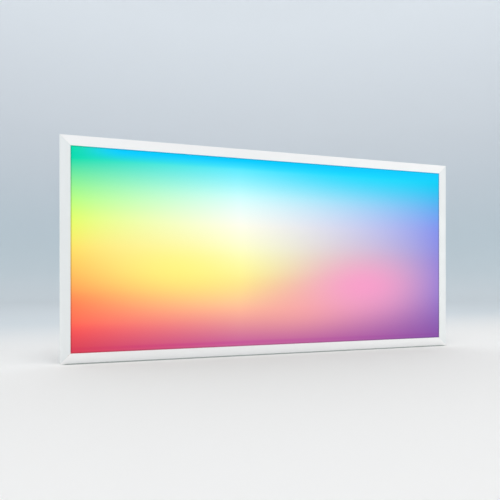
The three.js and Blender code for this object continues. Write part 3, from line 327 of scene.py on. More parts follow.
class Finish:
    """A material, with short names for the nodes that the finishes below are made of."""

    def __init__(self, name, metallic=0.0, specular=0.5):
        self.material = bpy.data.materials.new(name)
        self.material.use_nodes = True
        self.tree = self.material.node_tree
        self.shader = self.tree.nodes["Principled BSDF"]
        self.set("Metallic", metallic)
        self.set("Specular IOR Level", specular)
        self.place = self.node("ShaderNodeTexCoord").outputs["Object"]

    def feed(self, socket, value):
        if isinstance(value, bpy.types.NodeSocket):
            self.tree.links.new(value, socket)
        else:
            socket.default_value = value

    def set(self, name, value):
        self.feed(self.shader.inputs[name], value)

    def node(self, kind, inputs=None, **settings):
        made = self.tree.nodes.new(kind)
        for name, value in settings.items():
            setattr(made, name, value)
        for name, value in (inputs or {}).items():
            self.feed(made.inputs[name], value)
        return made

    def maths(self, operation, first, second=0.0, third=0.0):
        inputs = {0: first, 1: second, 2: third}
        return self.node("ShaderNodeMath", inputs, operation=operation).outputs[0]

    def axis(self, name):
        """One coordinate of the surface point, in metres."""
        return self.node("ShaderNodeSeparateXYZ", {0: self.place}).outputs[name]

    def past(self, name, start):
        """How far the surface point lies past a place on one axis."""
        return self.maths("SUBTRACT", self.axis(name), start)

    def sized(self, size):
        """The surface point in units of size, which is one length or one for each axis."""
        sizes = size if isinstance(size, tuple) else (size, size, size)
        scales = [1 / length for length in sizes]
        inputs = {0: self.place, 1: scales}
        return self.node("ShaderNodeVectorMath", inputs, operation="MULTIPLY").outputs[0]

    def noise(self, size, detail=2.0):
        inputs = {"Vector": self.sized(size), "Scale": 1.0, "Detail": detail}
        return self.node("ShaderNodeTexNoise", inputs).outputs[0]

    def cells(self, size, feature="F1", randomness=1.0):
        """How far the surface point is from its cell's middle, or from its edge."""
        inputs = {"Vector": self.sized(size), "Scale": 1.0, "Randomness": randomness}
        return self.node("ShaderNodeTexVoronoi", inputs, feature=feature).outputs["Distance"]

    def span(self, source, low, high, to_low=0.0, to_high=1.0):
        """Source turned smoothly from to_low at low to to_high at high."""
        inputs = {"Value": source, "From Min": low, "From Max": high, "To Min": to_low, "To Max": to_high}
        return self.node("ShaderNodeMapRange", inputs, interpolation_type="SMOOTHSTEP").outputs[0]

    def share(self, source, low, high):
        """How far source is from low to high, from 0 to 1, in a straight line."""
        inputs = {"Value": source, "From Min": low, "From Max": high}
        return self.node("ShaderNodeMapRange", inputs).outputs[0]

    def near(self, source, centre, half):
        """1 where source is within half of centre, and 0 elsewhere."""
        return self.maths("COMPARE", source, centre, half)

    def mix(self, factor, first, second):
        """The first colour at factor 0, and the second at 1."""
        inputs = {0: factor, 6: first, 7: second}
        return self.node("ShaderNodeMix", inputs, data_type="RGBA").outputs[2]

    def ramp(self, source, stops, interpolation="LINEAR"):
        """The colour at source on a gradient of (position, colour) stops."""
        made = self.node("ShaderNodeValToRGB", {0: source})
        made.color_ramp.interpolation = interpolation
        elements = made.color_ramp.elements
        while len(elements) < len(stops):
            elements.new(0.5)
        for element, (position, colour) in zip(elements, stops):
            element.position = position
            element.color = colour
        return made.outputs["Color"]

    def tint(self, colour, source, amount):
        """The colour, up to amount darker or lighter as source goes from 0 to 1."""
        return self.mix(source, scaled(colour, 1 - amount), scaled(colour, 1 + amount))

    def roughen(self, source, low, high):
        """Roughness that goes from low to high with a noise."""
        self.set("Roughness", self.span(source, *NOISE_RANGE, low, high))

    def relief(self, *layers):
        """Bumps of each (height from 0 to 1, depth in metres), one on another."""
        normal = None
        for height, depth in layers:
            bump = self.node("ShaderNodeBump", {"Height": height, "Distance": depth, "Strength": 1.0})
            if normal is not None:
                self.feed(bump.inputs["Normal"], normal)
            normal = bump.outputs["Normal"]
        self.set("Normal", normal)


FLOOR_COLOUR = (0.95, 0.92, 0.89, 1.0)
WALL_SHADE_TONES_TOP = 3.5  # the height of the last of the wall's painted shading tones
# The wall's cool grey is painted darker towards mid height and lighter above and near the floor, as
# painted shading for the light's fall-off up the wall.
WALL_SHADE_TONES = (  # height as a share of WALL_SHADE_TONES_TOP, and screen colour
    (0.0, "e4e8ea"),
    (0.08, "d4dee2"),
    (0.22, "cad6dc"),
    (0.40, "dadfe4"),
    (0.60, "dfe2e6"),
    (1.0, "eef1f4"),
)
WALL_STARTS_BEHIND = (0.1, 1.3)  # the floor takes on the wall's tone from here to there
WALL_STARTS_AROUND = (2.0, 3.2)
# A painted contact shadow: the floor's colour darkened under and just in front of the panel's foot.
FOOT_SHADOW_WIDTH = 20 * MM
FOOT_SHADOW_FADE = FOOT_SHADOW_WIDTH / 3
FOOT_SHADOW_COLOUR = (0.26, 0.29, 0.275, 1.0)


def painted_foot_shadow(f):
    """Where the painted contact shadow lies: 1 on the floor under the panel's foot and just in front of
    it, fading to 0 around.
    """
    ahead = f.span(f.axis("Y"), FACE_Y - FOOT_SHADOW_WIDTH, FACE_Y - FOOT_SHADOW_FADE)
    from_middle = f.maths("ABSOLUTE", f.axis("X"))
    beside = f.span(from_middle, CAD_HIGH.x - FOOT_SHADOW_WIDTH, CAD_HIGH.x, 1.0, 0.0)
    frame_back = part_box("frame_bottom")[1].y
    behind = f.span(f.axis("Y"), frame_back, frame_back + FOOT_SHADOW_FADE, 1.0, 0.0)
    return f.maths("MULTIPLY", f.maths("MULTIPLY", ahead, beside), behind)


def stage_paper():
    """Pale paper: neutral on the floor, with a painted contact shadow at the panel's foot, and cool grey
    up the wall with painted shading.
    """
    f = Finish("stage_paper", specular=0.1)
    wall_stops = [(height, screen(digits)) for height, digits in WALL_SHADE_TONES]
    wall = f.ramp(f.share(f.axis("Z"), 0.0, WALL_SHADE_TONES_TOP), wall_stops, "B_SPLINE")
    away = f.node("ShaderNodeVectorMath", {0: f.place}, operation="LENGTH").outputs["Value"]
    behind = f.span(f.axis("Y"), *WALL_STARTS_BEHIND)
    far = f.maths("MAXIMUM", behind, f.span(away, *WALL_STARTS_AROUND))
    paper = f.mix(far, FLOOR_COLOUR, wall)
    # The floor's colour darkens into the painted contact shadow at the panel's foot.
    f.set("Base Color", f.mix(painted_foot_shadow(f), paper, FOOT_SHADOW_COLOUR))
    f.roughen(f.noise(20 * MM), 0.75, 0.9)
    f.relief((f.noise(3 * MM), 0.02 * MM))
    return f.material


# The light's colours, as a screen shows them, up the left end, up a line left of the middle and up
# the right end. Each has its height as a share of the lit face.
GLOW_LEFT = ((0.03, "d45"), (0.14, "f65"), (0.3, "f95"), (0.5, "fd6"), (0.7, "cf7"), (0.94, "0da"))
GLOW_MIDDLE = (
    (0.03, "c69"),
    (0.2, "fb9"),
    (0.36, "fe9"),
    (0.5, "ffc"),
    (0.64, "ffe"),
    (0.8, "cff"),
    (0.94, "6ef"),
)
GLOW_RIGHT = ((0.03, "85a"), (0.25, "87c"), (0.5, "88d"), (0.7, "79e"), (0.93, "0be"))
GLOW_MIDDLE_PLACE = 0.4  # across the lit face
GLOW_RIGHT_BEND = 1.05  # above 1, the colours leave the middle line late
# Soft round washes over them. Each has its colour and strength, and its middle and its reach as
# shares across and up the face.
GLOW_WASHES = (
    ("fa9", 0.5, (0.56, 0.22), (0.15, 0.14)),
    ("f9c", 0.8, (0.75, 0.32), (0.18, 0.18)),
    ("ff7", 0.55, (0.24, 0.42), (0.18, 0.15)),
    ("0df", 0.85, (0.78, 1.0), (0.35, 0.14)),
)
GLOW_CYAN = "0cf"  # the band under the upper edge
GLOW_CYAN_SPAN = (0.93, 0.99)  # where it sets in, up the face
GLOW_CYAN_START = (0.0, 0.12)  # where it sets in, across the face
GLOW_STRENGTH = 0.94
GLOW_LIP_SHADE = 5 * MM  # painted shade of the bezel's lip darkens the light this close to the bezel
GLOW_LIP_SHADE_SHARE = 0.62  # of the light is left at the bezel, under the painted shade
OPAL_GLOW_TINT = 0.07  # of the light's own colour is painted into the diffuser's surface colour, a painted glow


def upright_gradients(f, across, up):
    """The three upright gradients, each blended into the next across the face."""
    start, between, end = (
        f.ramp(up, [(height, screen(digits)) for height, digits in line], "CARDINAL")
        for line in (GLOW_LEFT, GLOW_MIDDLE, GLOW_RIGHT)
    )
    light = f.mix(f.share(across, 0.0, GLOW_MIDDLE_PLACE), start, between)
    rightward = f.maths("POWER", f.share(across, GLOW_MIDDLE_PLACE, 1.0), GLOW_RIGHT_BEND)
    return f.mix(rightward, light, end)


def washed(f, light, across, up, wash):
    """The light with one soft round wash over it."""
    digits, strength, centre, reach = wash
    aside = f.maths("DIVIDE", f.maths("SUBTRACT", across, centre[0]), reach[0])
    above = f.maths("DIVIDE", f.maths("SUBTRACT", up, centre[1]), reach[1])
    away = f.maths("ADD", f.maths("POWER", aside, 2.0), f.maths("POWER", above, 2.0))
    share = f.maths("MULTIPLY", f.maths("EXPONENT", f.maths("MULTIPLY", away, -1.0)), strength)
    return f.mix(share, light, screen(digits))


def opal_diffuser():
    """Opal acrylic with the coloured light of the strips behind it, painted shade along the bezel's lip
    and a faint painted glow in its surface colour.
    """
    f = Finish("opal_diffuser", specular=0.06)
    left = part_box("frame_left")[1].x
    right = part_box("frame_right")[0].x
    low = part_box("frame_bottom")[1].z
    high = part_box("frame_top")[0].z
    across = f.share(f.axis("X"), left, right)
    up = f.share(f.axis("Z"), low, high)
    light = upright_gradients(f, across, up)
    for wash in GLOW_WASHES:
        light = washed(f, light, across, up, wash)
    band = f.maths("MULTIPLY", f.span(up, *GLOW_CYAN_SPAN), f.span(across, *GLOW_CYAN_START))
    light = f.mix(band, light, screen(GLOW_CYAN))
    # Painted shade along the bezel's lip: the light is darkened close to the opening's edges.
    from_side = f.maths("MULTIPLY", f.maths("PINGPONG", across, 0.5), right - left)
    from_end = f.maths("MULTIPLY", f.maths("PINGPONG", up, 0.5), high - low)
    edge = f.span(f.maths("MINIMUM", from_side, from_end), 0.0, GLOW_LIP_SHADE, GLOW_LIP_SHADE_SHARE, 1.0)
    light = f.mix(edge, grey(0.0), light)
    f.set("Emission Color", light)
    f.set("Emission Strength", GLOW_STRENGTH)
    # The surface colour is a dim copy of the light's colours: painted glow.
    f.set("Base Color", f.mix(OPAL_GLOW_TINT, grey(0.0), light))
    f.roughen(f.noise(3 * MM), 0.42, 0.5)
    f.relief((f.noise(0.6 * MM, 1.0), 0.006 * MM))
    return f.material


def frame_paint(name, grain, colour):
    """White powder coat over an extrusion, whose drawing lines run along the longest size of grain."""
    f = Finish(name)
    f.set("Base Color", f.tint(colour, f.noise(0.22, 3.0), 0.02))
    f.roughen(f.noise(0.03, 4.0), 0.36, 0.5)
    f.relief((f.noise(grain, 1.0), 0.006 * MM), (f.noise(1.1 * MM, 1.0), 0.012 * MM))
    return f.material


RUBBED_SHADE = 0.965  # a rubbed spot's colour beside the paint's


def sheet_paint(name, colour):
    """Textured powder coat on steel sheet, with faint clouds and rubbed spots."""
    f = Finish(name)
    rubbed = f.span(f.noise(0.035, 5.0), 0.56, 0.72)
    cloudy = f.tint(colour, f.noise(0.3, 3.0), 0.025)
    f.set("Base Color", f.mix(rubbed, cloudy, scaled(colour, RUBBED_SHADE)))
    f.roughen(f.noise(0.02, 3.0), 0.46, 0.6)
    f.relief((f.noise(0.14, 1.0), 0.1 * MM), (f.noise(0.9 * MM, 2.0), 0.02 * MM))
    return f.material


def zinc_steel():
    """Bright zinc plating: cool metal with pale straw clouds and fine rolling lines."""
    f = Finish("zinc_steel", metallic=1.0)
    clouds = f.noise(7 * MM, 3.0)
    stops = [(0.3, (0.60, 0.63, 0.68, 1)), (0.5, (0.72, 0.73, 0.73, 1)), (0.7, (0.74, 0.71, 0.62, 1))]
    f.set("Base Color", f.ramp(clouds, stops))
    f.roughen(f.noise(1.5 * MM, 3.0), 0.26, 0.42)
    f.relief((f.noise((0.3 * MM, 0.3 * MM, 12 * MM), 1.0), 0.004 * MM))
    return f.material


def bare_aluminium():
    """Mill-finish aluminium with drawing lines along X."""
    f = Finish("bare_aluminium", metallic=1.0)
    lines = f.noise((30 * MM, 0.25 * MM, 0.25 * MM), 2.0)
    f.set("Base Color", f.ramp(lines, [(0.3, (0.68, 0.69, 0.71, 1)), (0.7, (0.82, 0.83, 0.84, 1))]))
    f.roughen(lines, 0.3, 0.48)
    f.relief((lines, 0.008 * MM))
    return f.material


def moulded_plastic(name, colour, roughness):
    """Moulded plastic with a fine spark-eroded grain and rubbed spots."""
    f = Finish(name, specular=0.45)
    rub = f.span(f.noise(4 * MM, 4.0), 0.55, 0.75)
    worn = scaled(colour, 0.9, lift=0.05)
    f.set("Base Color", f.mix(rub, f.tint(colour, f.noise(9 * MM), 0.06), worn))
    f.roughen(f.noise(0.8 * MM, 2.0), roughness - 0.06, roughness + 0.08)
    f.relief((f.noise(0.25 * MM, 2.0), 0.012 * MM))
    return f.material


DOT_PITCH = 3 * MM
DOT_EDGE = (0.18, 0.26)  # a printed dot's edge, in pitches from its middle


def clear_acrylic():
    """Clear acrylic with the grid of white printed dots that turns the light forward."""
    f = Finish("clear_acrylic")
    spot = f.span(f.cells(DOT_PITCH, randomness=0.0), *DOT_EDGE, 1.0, 0.0)
    f.set("Base Color", f.mix(spot, (0.93, 0.985, 0.98, 1.0), grey(0.8)))
    f.set("Roughness", f.span(spot, 0.0, 1.0, 0.03, 0.5))
    f.set("IOR", 1.49)
    f.set("Transmission Weight", 0.9)
    return f.material


def white_film():
    """The reflector's microporous white film."""
    f = Finish("white_film", specular=0.6)
    f.set("Base Color", f.tint(grey(0.93), f.noise(0.05, 3.0), 0.02))
    f.roughen(f.noise(2 * MM, 3.0), 0.28, 0.4)
    f.relief((f.noise(0.4 * MM), 0.01 * MM))
    return f.material


def cell_foam():
    """Closed-cell polyethylene foam."""
    f = Finish("cell_foam", specular=0.2)
    cells = f.cells(1.3 * MM)
    f.set("Base Color", f.ramp(cells, [(0.0, (0.72, 0.72, 0.69, 1)), (0.6, (0.85, 0.85, 0.82, 1))]))
    f.roughen(f.noise(3 * MM), 0.88, 1.0)
    f.relief((cells, 0.2 * MM))
    return f.material


LED_PITCH = 32 * MM
LENS_EDGE = (0.9 * MM, 1.3 * MM)  # the lens fades out from here to there, from its lamp's middle
PAD_PLACE = 4 * MM  # from its lamp's middle
PAD_HALF = 1.2 * MM


def strip_board():
    """White strip board with a tinned pad each side of every lamp, and the lamps' yellow lenses."""
    f = Finish("strip_board")
    along = f.maths("FLOORED_MODULO", f.axis("X"), LED_PITCH)
    from_lamp = f.maths("ABSOLUTE", f.maths("SUBTRACT", along, LED_PITCH / 2))
    pads = f.near(from_lamp, PAD_PLACE, PAD_HALF)
    lens = f.span(from_lamp, *LENS_EDGE, 1.0, 0.0)
    mask = f.mix(pads, f.tint(grey(0.86), f.noise(12 * MM), 0.04), (0.72, 0.68, 0.55, 1.0))
    f.set("Base Color", f.mix(lens, mask, (0.92, 0.72, 0.22, 1.0)))
    f.roughen(f.noise(2 * MM), 0.35, 0.5)
    f.relief((pads, 0.03 * MM), (f.noise(0.5 * MM), 0.01 * MM))
    return f.material


TRACK_CELL = (7 * MM, 40 * MM, 5 * MM)
TRACK_EDGE = (0.05, 0.09)  # in cells from a track's middle
VIA_CELL = (6 * MM, 60 * MM, 6 * MM)
VIA_EDGE = (0.07, 0.1)  # in cells from a via's middle


def circuit_board():
    """Green solder mask over copper tracks, with tinned vias."""
    f = Finish("circuit_board")
    track = f.span(f.cells(TRACK_CELL, "DISTANCE_TO_EDGE", 0.85), *TRACK_EDGE, 1.0, 0.0)
    via = f.span(f.cells(VIA_CELL, randomness=0.8), *VIA_EDGE, 1.0, 0.0)
    mask = f.tint((0.030, 0.16, 0.075, 1.0), f.noise(10 * MM, 3.0), 0.12)
    laid = f.mix(track, mask, (0.055, 0.25, 0.11, 1.0))
    f.set("Base Color", f.mix(via, laid, (0.62, 0.56, 0.38, 1.0)))
    f.roughen(f.noise(1.2 * MM), 0.26, 0.38)
    f.relief((track, 0.035 * MM), (f.noise(0.4 * MM), 0.008 * MM))
    return f.material


CORE_LEG = 2.2 * MM  # the ferrite shows this far in from each end
CORE_HALF_HEIGHT = 7 * MM
TAPE_LAYER = 1.1 * MM


def winding_tape():
    """Yellow polyester tape wound in layers about the ferrite core's dark legs."""
    f = Finish("winding_tape", specular=0.6)
    centre = middle("transformer")
    winding_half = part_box("transformer")[1].x - centre.x - CORE_LEG
    outside = f.maths("GREATER_THAN", f.maths("ABSOLUTE", f.past("X", centre.x)), winding_half)
    wave = {"Vector": f.sized(1.0), "Scale": 0.5 / TAPE_LAYER, "Distortion": 0.6}
    layers = f.node("ShaderNodeTexWave", wave, bands_direction="Z").outputs["Color"]
    tape = f.mix(layers, (0.66, 0.47, 0.09, 1.0), (0.80, 0.62, 0.17, 1.0))
    ferrite = f.tint(grey(0.05), f.noise(1.5 * MM, 4.0), 0.4)
    core = f.maths("MULTIPLY", outside, f.near(f.axis("Z"), centre.z, CORE_HALF_HEIGHT))
    f.set("Base Color", f.mix(core, tape, ferrite))
    f.roughen(f.noise(2 * MM, 3.0), 0.3, 0.5)
    f.relief((layers, 0.05 * MM), (f.noise(0.6 * MM, 3.0), 0.02 * MM))
    return f.material


CAN_RADIUS = 6 * MM  # of the bare top inside the sleeve's rim
CAN_DEPTH = 0.6 * MM
SCORE_HALF = 0.3 * MM
STRIPE_HALF = 2 * MM


def capacitor_sleeve():
    """A dark shrink sleeve with its pale polarity stripe, and a scored bright can top whose score lines
    carry painted shade.
    """
    f = Finish("capacitor_sleeve", specular=0.6)
    centre = middle("bulk_capacitor")
    from_x = f.past("X", centre.x)
    from_z = f.past("Z", centre.z)
    squares = [f.maths("MULTIPLY", distance, distance) for distance in (from_x, from_z)]
    inside = f.maths("LESS_THAN", f.maths("ADD", *squares), CAN_RADIUS**2)
    top = f.maths("GREATER_THAN", f.axis("Y"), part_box("bulk_capacitor")[1].y - CAN_DEPTH)
    can = f.maths("MULTIPLY", top, inside)
    score = f.maths("MAXIMUM", f.near(from_x, 0.0, SCORE_HALF), f.near(from_z, 0.0, SCORE_HALF))
    stripe = f.maths("MULTIPLY", f.near(from_z, 0.0, STRIPE_HALF), f.maths("LESS_THAN", from_x, 0.0))
    dark = f.tint((0.018, 0.022, 0.045, 1.0), f.noise(6 * MM), 0.2)
    sleeve = f.mix(stripe, dark, (0.5, 0.52, 0.55, 1.0))
    # The score lines are painted darker than the can top: painted shade in the grooves.
    f.set("Base Color", f.mix(can, sleeve, f.mix(score, grey(0.7), grey(0.4))))
    f.set("Metallic", can)
    f.roughen(f.noise(1.5 * MM), 0.28, 0.4)
    f.relief((score, -0.15 * MM), (f.noise(0.8 * MM), 0.015 * MM))
    return f.material


CHOKE_TURNS = 44


def wound_choke():
    """Enamelled copper turns side by side round a toroid, with painted shade in the gaps between turns.
    """
    f = Finish("wound_choke", metallic=0.85)
    centre = middle("filter_choke")
    angle = f.maths("ARCTAN2", f.past("Y", centre.y), f.past("X", centre.x))
    turns = f.maths("SINE", f.maths("MULTIPLY", angle, CHOKE_TURNS))
    level = f.span(turns, -1.0, 1.0)
    # The colour darkens between the turns: painted shade in the gaps between the wires.
    f.set("Base Color", f.ramp(level, [(0.0, (0.16, 0.05, 0.015, 1)), (0.6, (0.62, 0.25, 0.08, 1))]))
    f.roughen(f.noise(1 * MM), 0.2, 0.34)
    f.relief((level, 0.25 * MM))
    return f.material


FUSE_CAP = 5 * MM


def capped_fuse():
    """A glass tube between two nickel caps."""
    f = Finish("capped_fuse", specular=0.6)
    centre = middle("fuse")
    glass_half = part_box("fuse")[1].x - centre.x - FUSE_CAP
    cap = f.maths("GREATER_THAN", f.maths("ABSOLUTE", f.past("X", centre.x)), glass_half)
    glass = f.tint((0.62, 0.68, 0.66, 1.0), f.noise(3 * MM), 0.1)
    f.set("Base Color", f.mix(cap, glass, (0.72, 0.70, 0.66, 1.0)))
    f.set("Metallic", cap)
    f.roughen(f.noise(1 * MM, 3.0), 0.1, 0.3)
    f.relief((f.noise(0.5 * MM), 0.01 * MM))
    return f.material


RADIO_BOARD = 1.2 * MM
AERIAL_LENGTH = 5.2 * MM
AERIAL_PITCH = 1.6 * MM  # between the turns of its meander
AERIAL_TRACK_HALF = 0.35 * MM


def shielded_radio():
    """A tinned can on a small dark board, with a gold aerial track past its end."""
    f = Finish("shielded_radio")
    low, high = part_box("radio_module")
    can = f.maths("GREATER_THAN", f.axis("Y"), low.y + RADIO_BOARD)
    aerial_zone = f.maths("GREATER_THAN", f.axis("X"), high.x - AERIAL_LENGTH)
    to_and_fro = f.maths("PINGPONG", f.axis("Z"), AERIAL_PITCH)
    aerial = f.maths("MULTIPLY", aerial_zone, f.near(to_and_fro, AERIAL_PITCH / 2, AERIAL_TRACK_HALF))
    board = f.mix(aerial, (0.02, 0.03, 0.06, 1.0), (0.75, 0.58, 0.25, 1.0))
    tin = f.tint((0.68, 0.69, 0.70, 1.0), f.noise(2 * MM, 3.0), 0.06)
    f.set("Base Color", f.mix(can, board, tin))
    f.set("Metallic", can)
    f.roughen(f.noise(1 * MM), 0.25, 0.4)
    f.relief((f.noise(0.5 * MM), 0.01 * MM))
    return f.material


def lead_jacket():
    """A flat grey PVC jacket with faint extrusion lines."""
    f = Finish("lead_jacket", specular=0.4)
    f.set("Base Color", f.tint((0.10, 0.10, 0.11, 1.0), f.noise(20 * MM, 3.0), 0.15))
    f.roughen(f.noise(1 * MM), 0.45, 0.6)
    f.relief((f.noise((0.2 * MM, 0.2 * MM, 15 * MM), 1.0), 0.01 * MM))
    return f.material


def soft_rubber():
    """Dull dark rubber."""
    f = Finish("soft_rubber", specular=0.25)
    f.set("Base Color", f.tint((0.13, 0.13, 0.14, 1.0), f.noise(15 * MM, 4.0), 0.15))
    f.roughen(f.noise(1.5 * MM, 3.0), 0.72, 0.88)
    f.relief((f.noise(0.3 * MM, 3.0), 0.02 * MM))
    return f.material


LONG_GRAIN = (0.5, 1.5 * MM, 1.5 * MM)  # drawing lines along X, on the frame's long bars
SHORT_GRAIN = (1.5 * MM, 1.5 * MM, 0.5)  # and along Z, on its short ones


def make_materials():
    """Each material, with the CAD nodes that wear it, named as nodes_called() reads them."""
    grey_plastic = moulded_plastic("grey_plastic", (0.38, 0.40, 0.41, 1.0), 0.5)
    black_plastic = moulded_plastic("black_plastic", (0.035, 0.035, 0.04, 1.0), 0.5)
    orange_plastic = moulded_plastic("orange_plastic", (0.72, 0.22, 0.03, 1.0), 0.4)
    back_paint = sheet_paint("back_paint", (0.62, 0.635, 0.65, 1.0))
    box_paint = sheet_paint("box_paint", (0.80, 0.81, 0.81, 1.0))
    # One white powder coat in two copies: lighter on the long bars and darker, cooler on the short ones,
    # as painted light and shade; only the grain directions truly differ.
    long_paint_lit = frame_paint("frame_paint_long", LONG_GRAIN, (0.90, 0.88, 0.865, 1.0))
    short_paint_shaded = frame_paint("frame_paint_short", SHORT_GRAIN, (0.79, 0.80, 0.79, 1.0))
    return [
        (long_paint_lit, ["frame_top", "frame_bottom"]),
        (short_paint_shaded, ["frame_left", "frame_right"]),
        (back_paint, ["back_plate"]),
        (box_paint, ["driver_tray", "driver_cover", "wiring_door"]),
        (bare_aluminium(), ["corner_key_", "clip_rivet_", "heat_sink"]),
        (opal_diffuser(), ["diffuser_plate"]),
        (clear_acrylic(), ["light_guide_plate"]),
        (white_film(), ["reflector_sheet"]),
        (cell_foam(), ["foam_pad"]),
        (strip_board(), ["led_board_"]),
        (soft_rubber(), ["edge_bumper_"]),
        (lead_jacket(), ["led_lead_"]),
        (zinc_steel(), ["grid_clip_", "plate_screw_", "cover_screw_", "door_hinge_pin", "divider_plate"]),
        (black_plastic, ["inlet_bushing", "knockout_plug", "selector_switch"]),
        (grey_plastic, ["input_terminal", "output_terminal", "selector_slider_", "pair_button"]),
        (orange_plastic, ["terminal_lever_"]),
        (circuit_board(), ["driver_board"]),
        (winding_tape(), ["transformer"]),
        (capacitor_sleeve(), ["bulk_capacitor"]),
        (wound_choke(), ["filter_choke"]),
        (capped_fuse(), ["fuse"]),
        (shielded_radio(), ["radio_module"]),
    ]


def dress_nodes():
    """Gives every CAD node its material."""
    for material, names in make_materials():
        for name in names:
            for node in nodes_called(name):
                node.data.materials.clear()
                node.data.materials.append(material)


# ---- Detailed pieces ---------------------------------------------------------------------------

SMALL_SIDES = 32  # of the round pieces that are seen least
WIDE_SIDES = 64  # and of the widest

SCREW_HEAD_HEIGHT = 1.8 * MM
# The dome's outline, in shares of the head's radius and height.
SCREW_DOME = ((1.0, 0.0), (1.0, 0.55), (0.75, 0.93), (0.35, 1.0), (0.0, 1.0))
SCREW_DOME_SOFTNESS = 0.4 * MM
SCREW_TURN = 0.7  # radians from one screw's recess to the next one's
SCREW_SHANK_RADIUS = 1.45 * MM
THREAD_PITCH = 0.7 * MM
THREAD_DEPTH = 0.2 * MM
RECESS_REACH = 1.7 * MM
RECESS_WIDTH = 0.62 * MM
RECESS_DEPTH = 1.1 * MM
RECESS_TIP_SHARE = 0.45  # of its width is left at the bottom
RECESS_OVERCUT = 0.1 * MM


def piece_for(made, node_name, slot):
    """Puts a piece in a CAD node's place: on its body, with its slot, and in its stead."""
    made.data.materials.append(bpy.data.materials[slot])
    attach(made, frame["nodes"][node_name]["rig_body"])
    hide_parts(node_name)


def cross_cutter():
    """The tapered cross of a driver's tip, pointing down from z = 0."""
    shape = bmesh.new()
    for turn in (0, 1):
        corners = []
        for z, share in ((RECESS_OVERCUT, 1.0), (-RECESS_DEPTH, RECESS_TIP_SHARE)):
            for x, y in ((-1, -1), (1, -1), (1, 1), (-1, 1)):
                reach = x * RECESS_REACH * share
                across = y * RECESS_WIDTH / 2 * share
                corners.append(shape.verts.new((across, reach, z) if turn else (reach, across, z)))
        low, high = corners[:4], corners[4:]
        shape.faces.new(low)
        shape.faces.new(high)
        for i in range(4):
            j = (i + 1) % 4
            shape.faces.new((low[i], low[j], high[j], high[i]))
    return object_from(shape, "recess_cutter")


def pan_head_mesh(head_radius, shank_length):
    """A domed pan head on a threaded shank; the head's underside is at z = 0."""
    core_radius = SCREW_SHANK_RADIUS - THREAD_DEPTH
    shank = [(0.0, -shank_length), (core_radius, -shank_length)]
    turns = int(shank_length / THREAD_PITCH) - 1
    for i in range(turns):
        z = -shank_length + (i + 0.5) * THREAD_PITCH
        shank.append((SCREW_SHANK_RADIUS, z))
        shank.append((core_radius, z + THREAD_PITCH / 2))
    head = [(core_radius, 0.0)]
    head += [(head_radius * out, SCREW_HEAD_HEIGHT * up) for out, up in SCREW_DOME]
    screw = turned("pan_head", shank + rounded(head, SCREW_DOME_SOFTNESS), sides=SMALL_SIDES)
    cutter = cross_cutter()
    cutter.location.z = SCREW_HEAD_HEIGHT
    carve(screw, cutter)
    mesh = screw.data
    bpy.data.objects.remove(screw)
    return mesh


def make_screws():
    """The back plate's and the driver cover's screws, each turned a little further."""
    low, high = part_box("plate_screw_1")
    mesh = pan_head_mesh((high.x - low.x) / 2, high.y - low.y - SCREW_HEAD_HEIGHT)
    names = [name for name in frame["nodes"] if name.startswith(("plate_screw_", "cover_screw_"))]
    for i, name in enumerate(sorted(names)):
        made = bpy.data.objects.new(f"cross_{name}", mesh.copy())
        bpy.context.scene.collection.objects.link(made)
        centre = middle(name)
        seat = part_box(name)[1].y - SCREW_HEAD_HEIGHT
        stand(made, (centre.x, seat, centre.z), (0, 1, 0))
        made.rotation_euler.rotate_axis("Z", SCREW_TURN * i)
        piece_for(made, name, "zinc_steel")


RIVET_HEAD_HEIGHT = 1.3 * MM
RIVET_SHOULDER = (0.92, 0.55)  # of the head's radius and height
RIVET_TAIL_RADIUS = 3 * MM
RIVET_TAIL_HEIGHT = 1 * MM
RIVET_RADIUS = 2 * MM
MANDREL_RADIUS = 1.1 * MM
MANDREL_RIM = 0.6 * MM  # the flat round its hole
MANDREL_DEPTH = 0.9 * MM
MANDREL_STUB = 0.2 * MM  # how far the broken mandrel's middle stands up
RIVET_SOFTNESS = 0.35 * MM


def make_clip_rivets():
    """Domed blind rivets, hollow where the mandrel broke off."""
    for name in sorted(n for n in frame["nodes"] if n.startswith("clip_rivet_")):
        low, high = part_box(name)
        length = high.y - low.y
        radius = (high.x - low.x) / 2
        seat = length - RIVET_HEAD_HEIGHT
        profile = [
            (0.0, 0.0),
            (RIVET_TAIL_RADIUS, 0.0),
            (RIVET_TAIL_RADIUS, RIVET_TAIL_HEIGHT),
            (RIVET_RADIUS, RIVET_TAIL_HEIGHT),
            (RIVET_RADIUS, seat),
            (radius, seat),
            (radius * RIVET_SHOULDER[0], seat + RIVET_HEAD_HEIGHT * RIVET_SHOULDER[1]),
            (MANDREL_RADIUS + MANDREL_RIM, length),
            (MANDREL_RADIUS, length),
            (MANDREL_RADIUS, length - MANDREL_DEPTH),
            (0.0, length - MANDREL_DEPTH + MANDREL_STUB),
        ]
        made = turned(f"blind_{name}", rounded(profile, RIVET_SOFTNESS))
        centre = middle(name)
        stand(made, (centre.x, low.y, centre.z), (0, 1, 0))
        piece_for(made, name, "bare_aluminium")


BUSHING_BORE = 5.5 * MM
BUSHING_BARREL = 8 * MM
BUSHING_SNAP = 9.2 * MM  # the radius of the ring that snaps in behind the wall
BUSHING_SNAP_HEIGHT = 1.5 * MM
BUSHING_SNAP_LEAD = (0.9 * MM, 1.1 * MM)  # its slope, across and along
BUSHING_FLANGE = 2 * MM
BUSHING_FLANGE_SLOPE = (1 * MM, 0.8 * MM)
BUSHING_LIP = 1.2 * MM
BUSHING_SOFTNESS = 0.4 * MM


